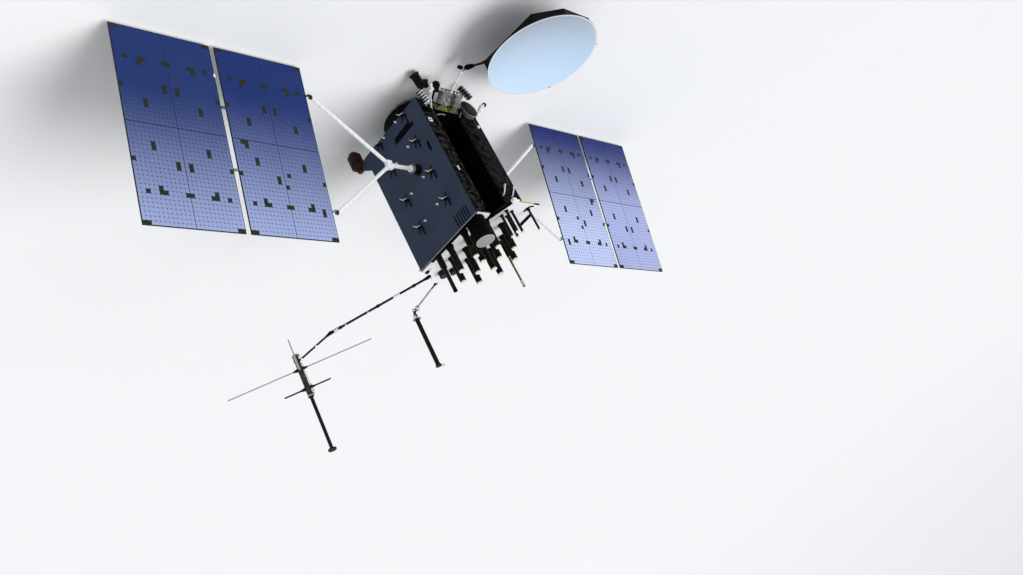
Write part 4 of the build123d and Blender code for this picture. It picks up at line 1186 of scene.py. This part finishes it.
@dataclass
class AftCluster:
    """Thrusters, sensors and the launch ring at the aft end."""

    cooler: tuple[Point, Point, float] = ((1.235, -0.545, 0.165), (0.0, -0.145, 0.260), 0.050)
    cooler_colours: tuple[Colour, Colour] = ((0.200, 0.198, 0.194), (0.040, 0.040, 0.040))
    fins: tuple[Point, Point, float] = ((1.096, 0.790, 0.480), (-0.036, -0.135, 0.220), 0.030)
    fin_colours: tuple[Colour, Colour] = ((0.800, 0.805, 0.815), (0.720, 0.725, 0.735))
    # Share of each fin pitch that stays pale; the rest is painted shade between the fins.
    fin_share: float = 0.55
    ring_radius: float = 0.6075
    ring_steps: Pairs = (
        (-0.001, 0.001), (0.0012, 0.001), (0.0012, 0.019), (-0.010, 0.029), (-0.0088, 0.066), (-0.012, 0.066),
        (-0.012, 0.027), (-0.001, 0.018),
    )
    dome_centre: Point = (1.110, -0.640, 0.670)
    dome_rim: Pairs = ((0.230, -0.004), (0.2412, -0.004), (0.2412, 0.004), (0.236, 0.006), (0.230, 0.003))
    dome_face: Point = (0.224, 0.046, -0.009)
    horn_mouth: Point = (1.208, 0.571, 0.193)
    horn_run: Point = (0.014, -0.006, -0.105)
    nozzle_end: Point = (1.206, -1.165, 0.512)
    nozzle_run: Point = (0.006, -0.125, -0.068)
    nozzle: Pairs = ((0.044, -0.060), (0.049, -0.062), (0.0545, 0.002), (0.046, 0.002))
    bipod_crown: Point = (1.110, 0.560, 0.540)
    bipod_feet: Pairs = ((0.510, 0.760), (0.640, 0.740))
    tip_foot: Point = (0.030, -0.030, 0.020)
    tip_axis: Point = (-0.3, 0.8, -0.3)
    tip: Pairs = ((0.0, 0.0), (0.022, 0.0), (0.020, 0.020), (0.010, 0.029), (0.0, 0.029))

    def build(self) -> None:
        """Dresses the aft hardware and adds its details."""
        dress(Coat.BLACK, "launch_ring", "telemetry_horn", "aft_can")
        dress(Coat.NOZZLE, "main_engine")
        dress(Coat.OLIVE, "pod_brackets")
        dress(Coat.GREY, "thruster_pods")
        dress(Coat.REDDISH, "side_sensor")
        dress(Coat.DRUM, "dome_sensor")
        dress(Finned("cooler_fins", *self.cooler, *self.cooler_colours), "aft_cooler")
        dress(Finned("white_fins", *self.fins, *self.fin_colours, self.fin_share), "aft_fittings")
        self.collars()
        self.struts()

    def collars(self) -> None:
        """Adds the launch ring's bare flange and the ends of the sensor, the horn and the nozzle."""
        flange = tuple((self.ring_radius + step, height) for step, height in self.ring_steps)
        radius, bulge, sink = self.dome_face
        angles = [math.pi * step / 16 for step in range(9)]
        lens = (*((radius * math.cos(angle), bulge * math.sin(angle)) for angle in angles), (0.0, 0.0))
        front = (1.0, 0.0, 0.0)
        x, y, z = self.dome_centre
        lip = hoop(0.066, 0.0795, -0.016, 0.002)
        for name, coat, solid in (
            ("ring_flange", Coat.RING, Turned((0, 0, 0), flange, 96)),
            ("dome_rim", Coat.SILVER, Turned((x, y, z), self.dome_rim, 64, front)),
            ("dome_face", Coat.FACE, Turned((x + sink, y, z), lens, 64, front)),
            ("horn_lip", Coat.GOLD, Turned(self.horn_mouth, lip, 32, self.horn_run)),
            ("nozzle_end", Coat.SOOT, Turned(self.nozzle_end, self.nozzle, 28, self.nozzle_run)),
        ):
            Piece(name, coat, [solid]).build()

    def struts(self) -> None:
        """Adds the pale bipod over the horns and the tip of the side sensor."""
        front = high("left_column").x
        bipod = []
        for y, z in self.bipod_feet:
            bipod.append(Rod((front + 0.002, y, z), self.bipod_crown, 0.011, 0.009, 10))
            bipod.append(Rod((front, y, z), (front + 0.014, y, z), 0.022, 0.018, 12))
        Piece("aft_bipod", Coat.SILVER, bipod).build()
        lo, hi = low("side_sensor"), high("side_sensor")
        tip = Turned(self.tip_foot, self.tip, 16, self.tip_axis)
        Piece("side_sensor_tip", Coat.WHITE, [tip], shift(lo.x, hi.y, lo.z)).build()


class Patch(Enum):
    """Bare patches between the cells, as (columns, rows) offsets of single cells."""

    SINGLE = ((0, 0),)
    WIDE = ((-0.5, 0), (0.5, 0))
    TALL = ((0, -0.5), (0, 0.5))
    TOP_OUTER = ((-0.5, -0.5), (0.5, -0.5), (-0.5, 0.5))
    TOP_INNER = ((-0.5, -0.5), (0.5, -0.5), (0.5, 0.5))
    FOOT_OUTER = ((-0.5, -0.5), (-0.5, 0.5), (0.5, 0.5))
    FOOT_INNER = ((0.5, -0.5), (-0.5, 0.5), (0.5, 0.5))


Patches = tuple[tuple[Patch, Pairs], ...]


@dataclass
class Wing:
    """One solar wing: drive, yoke, inner panel and outer panel.

    In its own frame x runs outwards from the body's middle, y along the panels and z out of the cells.
    """

    side: int
    panel_length: float = 3.868
    panel_width: float = 1.959
    panel_gap: float = 0.112
    thickness: float = 0.025
    start: float = 3.561
    arm_end: float = 3.415
    arm_colours: tuple[Colour, Colour] = ((0.760, 0.765, 0.780), (0.600, 0.605, 0.620))
    arm_bands: tuple[float, float] = (0.120, 0.100)
    drive_ring: Pairs = ((0.091, 0.044), (0.099, 0.044), (0.099, 0.076), (0.091, 0.078))
    columns: int = 24
    rows: int = 46
    rim_inset: float = 0.004
    rim_width: float = 0.010
    line_width: tuple[float, float] = (0.010, 0.012)
    line_height: float = 0.0012
    line_place: float = 0.497
    fitting: Point = (0.036, 0.070, 0.010)
    fitting_row: float = 7.7
    patch_height: float = 0.003
    # Per panel, the deep colour, the pale colour and the limits of the painted reflection that fades across its
    # cells.
    reflection_shades: tuple[tuple[Colour, Colour, tuple[float, float]], ...] = (
        ((0.007, 0.024, 0.136), (0.360, 0.425, 0.690), (0.20, 1.25)),
        ((0.010, 0.029, 0.134), (0.346, 0.415, 0.667), (0.25, 1.25)),
        ((0.002, 0.012, 0.126), (0.480, 0.554, 0.826), (0.00, 0.85)),
        ((0.008, 0.020, 0.147), (0.372, 0.428, 0.714), (0.00, 0.65)),
    )
    patches: Patches = (
        (Patch.SINGLE, ((2.5, 7.5), (21.5, 7.5), (2.5, 38.5), (0.5, 14.5), (0.5, 31.5))),
        (Patch.SINGLE, ((23.5, 14.5), (23.5, 31.5))),
        (Patch.WIDE, ((12.0, 7.5), (12.0, 38.5), (23.0, 0.5), (1.0, 45.5), (23.0, 45.5))),
        (Patch.TALL, ((10.5, 14.0), (13.5, 14.0), (5.5, 18.0), (18.5, 18.0))),
        (Patch.TALL, ((5.5, 28.0), (18.5, 28.0), (10.5, 32.0))),
        (Patch.TOP_OUTER, ((6.0, 8.0),)),
        (Patch.TOP_INNER, ((18.0, 8.0),)),
        (Patch.FOOT_OUTER, ((6.0, 38.0),)),
        (Patch.FOOT_INNER, ((18.0, 38.0),)),
    )
    inner_patches: Patches = (
        (Patch.SINGLE, ((13.5, 30.5), (12.5, 33.5))),
        (Patch.TALL, ((21.5, 39.0),)),
        (Patch.WIDE, ((1.0, 0.5),)),
        (Patch.TOP_INNER, ((3.0, 24.0),)),
    )
    outer_patches: Patches = ((Patch.TALL, ((13.5, 32.0),)), (Patch.SINGLE, ((21.5, 38.5),)))

    def __post_init__(self) -> None:
        """Reads the wing's frame from its joints."""
        self.name = "left" if self.side > 0 else "right"
        x, _, z = joint(f"{self.name}_array_drive")["pos_m"]
        self.down = Vector(joint(f"{self.name}_wing_fold")["axis"]) * self.side
        self.out = Vector((0, self.side, 0))
        self.face = Vector((-self.down.z, 0, self.down.x))
        turn = Matrix((self.out, self.down * -self.side, self.face)).transposed()
        self.place = shift(x, 0.0, z) @ turn.to_4x4()
        self.half = self.panel_length / 2
        self.cell = (self.panel_width / self.columns, self.panel_length / self.rows)

    def spot(self, out: float, row: float, height: float) -> Vector:
        """Point over a panel in the wing's frame.

        Args:
            out: metres from the body's middle.
            row: rows of cells from the panel's foot.
            height: metres above the middle of the panel's thickness.

        Returns:
            The point.
        """
        return Vector((out, self.side * (row * self.cell[1] - self.half), height))

    def build(self) -> None:
        """Dresses the wing and adds its fittings."""
        dress(Coat.DARK, f"{self.name}_drive")
        name = f"{self.name}_arm_tube"
        tube = Banded(name, *self.arm_colours, (0, self.side, 0), *self.arm_bands, self.arm_end)
        dress(tube, f"{self.name}_yoke_fittings", f"{self.name}_yoke_arms")
        ring = Turned((1.0, 0, 0), self.drive_ring, 40, (1, 0, 0))
        Piece(f"{self.name}_drive_ring", Coat.SILVER, [ring], self.place).build()
        for index, (part, extra) in enumerate((("inner", self.inner_patches), ("outer", self.outer_patches))):
            first = self.start + index * (self.panel_width + self.panel_gap)
            cells = Cells(
                f"{self.name}_{part}_cells",
                self.place @ self.spot(first + self.panel_width, 0.0, 0.0),
                -self.out,
                -self.down,
                self.face,
                (self.panel_width, self.panel_length),
                (self.columns, self.rows),
                *self.reflection_shades[index + (0 if self.side > 0 else 2)],
            )
            dress(cells, f"{self.name}_{part}_panel")
            self.frame(part, first)
            self.marks(part, first, extra)

    def add(self, name: str, coat: Coat, part: str, solids: Solids) -> None:
        """Adds a piece that rides on a panel.

        Args:
            name: the piece's name after the side's word.
            coat: its finish.
            part: "inner" or "outer".
            solids: its solids, in the wing's frame.
        """
        Piece(f"{self.name}_{name}", coat, solids, self.place, f"{self.name}_{part}_wing").build()

    def frame(self, part: str, first: float) -> None:
        """Adds a panel's edge frame and its faint dividing lines.

        Args:
            part: "inner" or "outer".
            first: distance of its near edge from the body's middle.
        """
        width, length = self.panel_width, self.panel_length
        middle, reach, end = first + width / 2, width / 2 - self.rim_inset, self.half - self.rim_inset
        thick = self.thickness + 0.003
        rim = [Block((middle, y, 0), (width + 0.002, self.rim_width, thick)) for y in (-end, end)]
        for x in (middle - reach, middle + reach):
            rim.append(Block((x, 0, 0), (self.rim_width, length + 0.002, thick)))
        self.add(f"{part}_rim", Coat.DARK, part, rim)
        face = self.thickness / 2 + self.line_height / 2
        along, across = self.line_width
        lines = [
            Block(self.spot(middle, self.rows * self.line_place, face), (width - 0.02, across, self.line_height)),
            Block((middle, 0, face), (along, length - 0.02, self.line_height)),
        ]
        self.add(f"{part}_lines", Coat.LINE, part, lines)

    def marks(self, part: str, first: float, extra: Patches) -> None:
        """Adds a panel's bare patches and, on the outer panels, their corner pieces.

        Args:
            part: "inner" or "outer".
            first: distance of its near edge from the body's middle.
            extra: patches that only this panel has.
        """
        last = first + self.panel_width
        face = self.thickness / 2 + self.patch_height / 2
        wide, tall = self.cell
        bare = []
        for kind, places in (*self.patches, *extra):
            for (column, row), (a, b) in product(places, kind.value):
                centre = self.spot(last - (column + a) * wide, row + b, face)
                bare.append(Block(centre, (wide, tall, self.patch_height)))
        self.add(f"{part}_patches", Coat.PATCH, part, bare)
        if part == "inner":
            return
        corner = Block(self.spot(last - wide, 0.5, face), (2 * wide, tall, self.patch_height))
        self.add(f"{part}_corner", Coat.RUST if self.side > 0 else Coat.PATCH, part, [corner])
        if self.side > 0:
            centre = self.spot(first + 0.004, self.fitting_row, self.thickness / 2 + 0.004)
            self.add("panel_fitting", Coat.WHITE, part, [Block(centre, self.fitting, 0.002)])


@dataclass
class DishBoom:
    """The dish with its link, elbow and arm."""

    elbow: Point = (1.900, 0.000, 0.330)
    head: Point = (2.545, 0.090, 0.800)
    dish_height: float = 0.930
    dish_tilt: float = -5.6
    dish_radius: float = 1.300
    # Lit and shaded ends of the dish's painted light and shade.
    dish_light_and_shade: tuple[Colour, Colour] = ((0.570, 0.740, 0.940), (0.340, 0.380, 0.450))
    link_colours: tuple[Colour, Colour] = ((0.760, 0.765, 0.780), (0.420, 0.425, 0.440))
    link_bands: tuple[float, float] = (0.170, 0.120)
    wrap: tuple[float, float] = (0.130, 0.330)
    wrap_radii: tuple[float, float] = (0.064, 0.044)
    rod: tuple[float, float] = (0.190, 0.660)
    rod_offset: float = 0.075
    rod_feet: tuple[float, ...] = (0.200, 0.420, 0.650)
    knob: Solids = (Rod((0, 0.066, 0), (0, 0.160, 0), 0.048, 0.042, 24),)

    def build(self) -> None:
        """Dresses the dish and its boom."""
        dress(Banded("dish_link_tube", *self.link_colours, (1, 0, 0), *self.link_bands), "dish_link")
        dress(Coat.BLACK, "dish_arm", "dish_cover")
        dress(Coat.DARK, "dish_bracket")
        middle = (low("dish_reflector") + high("dish_reflector")) / 2
        tilt = math.radians(self.dish_tilt)
        normal = (math.sin(tilt), 0.0, math.cos(tilt))
        centre = (middle.x, middle.y, self.dish_height)
        dress(Bowl("dish_shaded_paint", centre, normal, *self.dish_light_and_shade, self.dish_radius), "dish_reflector")
        self.fittings()

    def fittings(self) -> None:
        """Adds the black wrap and the thin rod along the dish arm, and the elbow's black motor."""
        elbow = shift(*self.elbow)
        run = (Vector(self.head) - Vector(self.elbow)).normalized()
        wrap = Rod(*(run * reach for reach in self.wrap), *self.wrap_radii, 28)
        Piece("dish_arm_wrap", Coat.SOOT, [wrap], elbow, Body.DISH_ARM, 0.002).build()
        aside = run.cross(Vector((0, 0, 1))).normalized() * self.rod_offset
        sleeve = [Rod(*(run * reach + aside for reach in self.rod), 0.010, sides=10)]
        sleeve += [Rod(run * reach, run * reach + aside * 1.1, 0.008, sides=8) for reach in self.rod_feet]
        Piece("dish_arm_rod", Coat.SILVER, sleeve, elbow, Body.DISH_ARM).build()
        Piece("dish_link_knob", Coat.SOOT, self.knob, elbow, bevel=0.003).build()


@dataclass
class Booms:
    """The dipole boom and the rod boom."""

    root_a: Point = (-1.395, 0.295, 3.676)
    bearing: float = 135.0
    elbow_a: tuple[float, float] = (2.440, 0.310)
    head_a: float = 3.310
    # Bright sleeves as (start share, end share, radius) along the link; the thin ones at 0.614 to 0.624 and 0.838
    # to 0.850 are painted highlights standing for glints.
    sleeves_and_glints: Sequence[Point] = (
        (0.292, 0.360, 0.029), (0.614, 0.624, 0.030), (0.838, 0.850, 0.032), (0.925, 0.962, 0.040),
    )
    clamps: tuple[tuple[float, float, Point], ...] = (
        (0.950, 0.045, (0.050, 0.040, 0.060)),
        (0.930, -0.045, (0.045, 0.040, 0.045)),
    )
    chamfer: float = 0.008
    case_radius: float = 0.060
    case_rings: tuple[float, ...] = (0.464, 1.480)
    buttons: tuple[float, ...] = (0.700, 1.060, 1.400)
    button_side: Point = (0.72, -0.69, 0.0)
    button_radii: tuple[float, float] = (0.018, 0.014)
    neck: float = 0.640
    neck_rings: Sequence[Point] = ((0.420, 0.465, 0.031), (0.860, 0.900, 0.034))
    head_lumps: Sequence[Point] = (
        (0.030, -0.085, 1.385, 0.052),
        (0.018, -0.112, 1.300, 0.044),
        (0.060, -0.062, 1.245, 0.038),
        (0.050, -0.050, 1.470, 0.046),
        (0.052, -0.048, 0.500, 0.050),
    )
    whips: tuple[tuple[Point, float, float], ...] = (
        ((0.042, 0.072, 0), 0.500, 0.840),
        ((0.066, -0.050, 0), 0.720, 1.420),
    )
    cap: Pairs = (
        (0.0, 0.001), (0.0900, 0.001), (0.0928, -0.003), (0.0928, -0.022), (0.0910, -0.022), (0.0910, -0.004),
        (0.0, -0.001),
    )
    split: float = 4.740
    whip_top: float = 4.600
    mast_reach: float = 0.170
    root_b: Point = (-1.575, -0.120, 3.660)
    elbow_b: Point = (-2.520, -0.120, 3.770)
    cable_b: tuple[float, float, int] = (0.160, 0.640, 8)
    cable_lift: Point = (0.0, 0.026, 0.030)
    elbow_lumps: Sequence[Point] = (
        (0.870, 0.0, 0.0, 0.084), (0.950, 0.066, 0.010, 0.058), (0.920, -0.062, 0.014, 0.058),
    )
    rod_b: Point = (-2.560, -0.120, 3.850)
    rod_length: float = 1.370
    rod_ring: Pairs = hoop(0.050, 0.064, 0.070, 0.120)
    rod_lumps: Sequence[Point] = (
        (0.030, 0.070, 0.060, 0.056), (-0.050, 0.058, 0.120, 0.050), (0.055, -0.052, 0.130, 0.052),
    )

    def __post_init__(self) -> None:
        """Places the dipole boom's elbow and axis."""
        root, reach = Vector(self.root_a), spoke(self.bearing / 360)
        out, rise = self.elbow_a
        self.elbow = root + reach * out + Vector((0, 0, rise))
        self.centre = root + reach * self.head_a

    def build(self) -> None:
        """Dresses the booms and adds their fittings."""
        dress(Coat.DARK, "boom_shoulders", "boom_a_link", "boom_a_forearm", "boom_b_arm", "boom_b_rod")
        dress(Coat.CASE, "head_case")
        dress(Dipoles("dipole_rods", self.centre.xy, self.split, self.mast_reach), "head_dipoles")
        dress(Dipoles("mast_rods", self.centre.xy, self.whip_top, 0.0), "head_mast")
        self.link()
        self.head()
        self.rod()

    def link(self) -> None:
        """Adds the bright sleeves of the dipole boom's inner link, two of them thin bands that stand for glints
        (painted highlights), and its clamps.
        """
        root, elbow = Vector(self.root_a), self.elbow
        solids = [
            Rod(root.lerp(elbow, first), root.lerp(elbow, last), radius, sides=24)
            for first, last, radius in self.sleeves_and_glints
        ]
        aside = Vector((0, 0, 1)).cross(elbow - root).normalized()
        solids += [
            Block(root.lerp(elbow, share) + aside * out, size, self.chamfer)
            for share, out, size in self.clamps
        ]
        Piece("boom_sleeves", Coat.SILVER, solids, body=Body.DIPOLE_ARM, bevel=0.001).build()

    def head(self) -> None:
        """Adds the head's bright edges, buttons and rings, its two whips and its gold cap."""
        base = shift(*self.centre)
        radius, elbow, neck = self.case_radius, self.elbow - self.centre, Vector((0, 0, self.neck))
        ring = hoop(radius - 0.003, radius + 0.0095, 0.0, 0.026)
        edges = [Turned((0, 0, height), ring) for height in self.case_rings]
        aside = Vector(self.button_side)
        for height in self.buttons:
            seat = aside * (radius - 0.004) + Vector((0, 0, height))
            edges.append(Rod(seat, seat + aside * 0.030, *self.button_radii, 14))
        for first, last, width in self.neck_rings:
            edges.append(Rod(elbow.lerp(neck, first), elbow.lerp(neck, last), width, sides=24))
        edges += [Block((x, y, z), (size, size, size * 1.3), self.chamfer) for x, y, z, size in self.head_lumps]
        Piece("head_edges", Coat.SILVER, edges, base, Body.DIPOLE_HEAD).build()
        whips = []
        for side, first, last in self.whips:
            offset = Vector(side)
            whips.append(Rod(*(offset + Vector((0, 0, z)) for z in (first, last)), 0.010, sides=10))
            for height in (first + 0.040, last - 0.040):
                seat = Vector((0, 0, height))
                whips.append(Rod(seat + offset * 0.6, seat + offset, 0.009, sides=8))
        Piece("head_whip", Coat.WHITE, whips, base, Body.DIPOLE_HEAD, slot=Slot.FITTING).build()
        crown = shift(*self.centre.xy, high("head_mast").z)
        Piece("mast_cap", Coat.CAP, [Turned((0, 0, 0), self.cap, 40)], crown, Body.DIPOLE_HEAD).build()

    def rod(self) -> None:
        """Adds the rod boom's cable, its bright elbow pieces and the rod's end ring."""
        root, elbow = Vector(self.root_b), Vector(self.elbow_b)
        first, run, steps = self.cable_b
        points = []
        for step in range(steps + 1):
            sway = Vector((0, 0.006 * math.sin(step * 1.9), 0.005 * math.cos(step * 2.3)))
            points.append(root.lerp(elbow, first + run * step / steps) + Vector(self.cable_lift) + sway)
        lumps = [
            Block(root.lerp(elbow, share) + Vector((0, y, z)), (size, size, size), 0.010)
            for share, y, z, size in self.elbow_lumps
        ]
        Piece("rod_boom_cable", Coat.SILVER, [Cable(points, 0.009), *lumps], body=Body.ROD_ARM).build()
        tip, away = Vector((0, 0, self.rod_length + 0.018)), Vector((0.14, -0.99, 0))
        rings = [
            Turned((0, 0, 0), self.rod_ring),
            *(Block((x, y, z), (size, size, size), self.chamfer) for x, y, z, size in self.rod_lumps),
            Rod(tip + away * 0.060, tip + away * 0.125, 0.034, 0.024, 16),
            Turned(tip + away * 0.150, hoop(0.020, 0.034, -0.007, 0.007), 24),
        ]
        Piece("rod_rings", Coat.SILVER, rings, shift(*self.rod_b), Body.ROD).build()


@dataclass
class Studio:
    """Camera, light, floor and world."""

    camera_place: Point = (11.307, 15.844, 14.152)
    camera_angles: Point = (-62.2588, -25.0826, -47.4015)
    lens: float = 35.770
    sensor: float = 36.0
    clip_end: float = 400.0
    sun_angles: Point = (28.0, 24.0, 20.0)
    sun_strength: float = 2.1
    sun_spread: float = 40.0
    sky: tuple[Colour, float] = ((0.97, 0.98, 1.0), 0.60)
    seen_sky: tuple[Colour, float] = ((1.0, 1.0, 1.0), 1.0)
    floor_colour: Colour = (0.80, 0.81, 0.82)
    floor_rings: Pairs = ((60.0, 0.0), (75.0, 1.5), (90.0, 6.0), (105.0, 14.0), (120.0, 26.0))
    floor_sides: int = 64

    def build(self) -> None:
        """Sets the camera, the light, the world and the floor."""
        scene = bpy.context.scene
        scene.view_settings.view_transform = "Standard"
        lens = bpy.data.cameras.new("camera")
        lens.lens = self.lens
        lens.sensor_width = self.sensor
        lens.clip_end = self.clip_end
        scene.camera = self.hang("camera", lens, self.camera_angles)
        scene.camera.location = self.camera_place
        lamp = bpy.data.lights.new("key", "SUN")
        lamp.energy = self.sun_strength
        lamp.angle = math.radians(self.sun_spread)
        self.hang("key", lamp, self.sun_angles)
        self.world()
        self.floor()

    def hang(self, name: str, data: bpy.types.ID, angles: Point) -> bpy.types.Object:
        """Adds a camera or lamp to the scene.

        Args:
            name: the object's name.
            data: the camera or lamp.
            angles: its turns about X, Y and Z, in degrees.

        Returns:
            The object.
        """
        made = bpy.data.objects.new(name, data)
        made.rotation_euler = Euler([math.radians(angle) for angle in angles], "XYZ")
        bpy.context.scene.collection.objects.link(made)
        return made

    def world(self) -> None:
        """Sets a soft sky that is white to the camera and in reflections."""
        graph = Graph("studio", "worlds")
        camera, glossy, through = (
            graph.node("ShaderNodeLightPath", {}, {}, f"Is {ray} Ray")
            for ray in ("Camera", "Glossy", "Transmission")
        )
        seen = camera.math("MAXIMUM", glossy).math("MAXIMUM", through)
        skies = [
            graph.node("ShaderNodeBackground", {}, {"Color": colour, "Strength": strength})
            for colour, strength in (self.sky, self.seen_sky)
        ]
        mixed = graph.node("ShaderNodeMixShader", {}, dict(enumerate((seen, *skies))))
        graph.end("ShaderNodeOutputWorld", mixed)
        bpy.context.scene.world = graph.owner

    def floor(self) -> None:
        """Adds the pale floor, which sweeps up far behind."""
        graph = Graph("floor_paint")
        pale = graph.mix(graph.noise(0.35, 2.0), self.floor_colour, scaled(self.floor_colour, 0.985))
        graph.surface(Base_Color=pale, Roughness=0.9)
        sides = self.floor_sides
        points = [Vector((0, 0, 0))]
        points += [spoke(index / sides, *ring) for ring, index in product(self.floor_rings, range(sides))]
        faces = [(0, 1 + index, 1 + (index + 1) % sides) for index in range(sides)]
        for ring, index in product(range(len(self.floor_rings) - 1), range(sides)):
            here, after = (1 + ring * sides + turn % sides for turn in (index, index + 1))
            faces.append((here, here + sides, after + sides, after))
        data = bpy.data.meshes.new("floor")
        data.from_pydata(points, [], faces)
        data.shade_smooth()
        data.materials.append(graph.owner)
        floor = bpy.data.objects.new("floor", data)
        bpy.context.scene.collection.objects.link(floor)


def main() -> None:
    """Builds every sub-assembly in order."""
    logging.basicConfig(level=logging.INFO, format="%(message)s")
    for part in (Bus(), Deck(), AftCluster(), Wing(1), Wing(-1), DishBoom(), Booms(), Studio()):
        part.build()
        log.info("%s built", type(part).__name__)


if __name__ == "__main__":
    main()
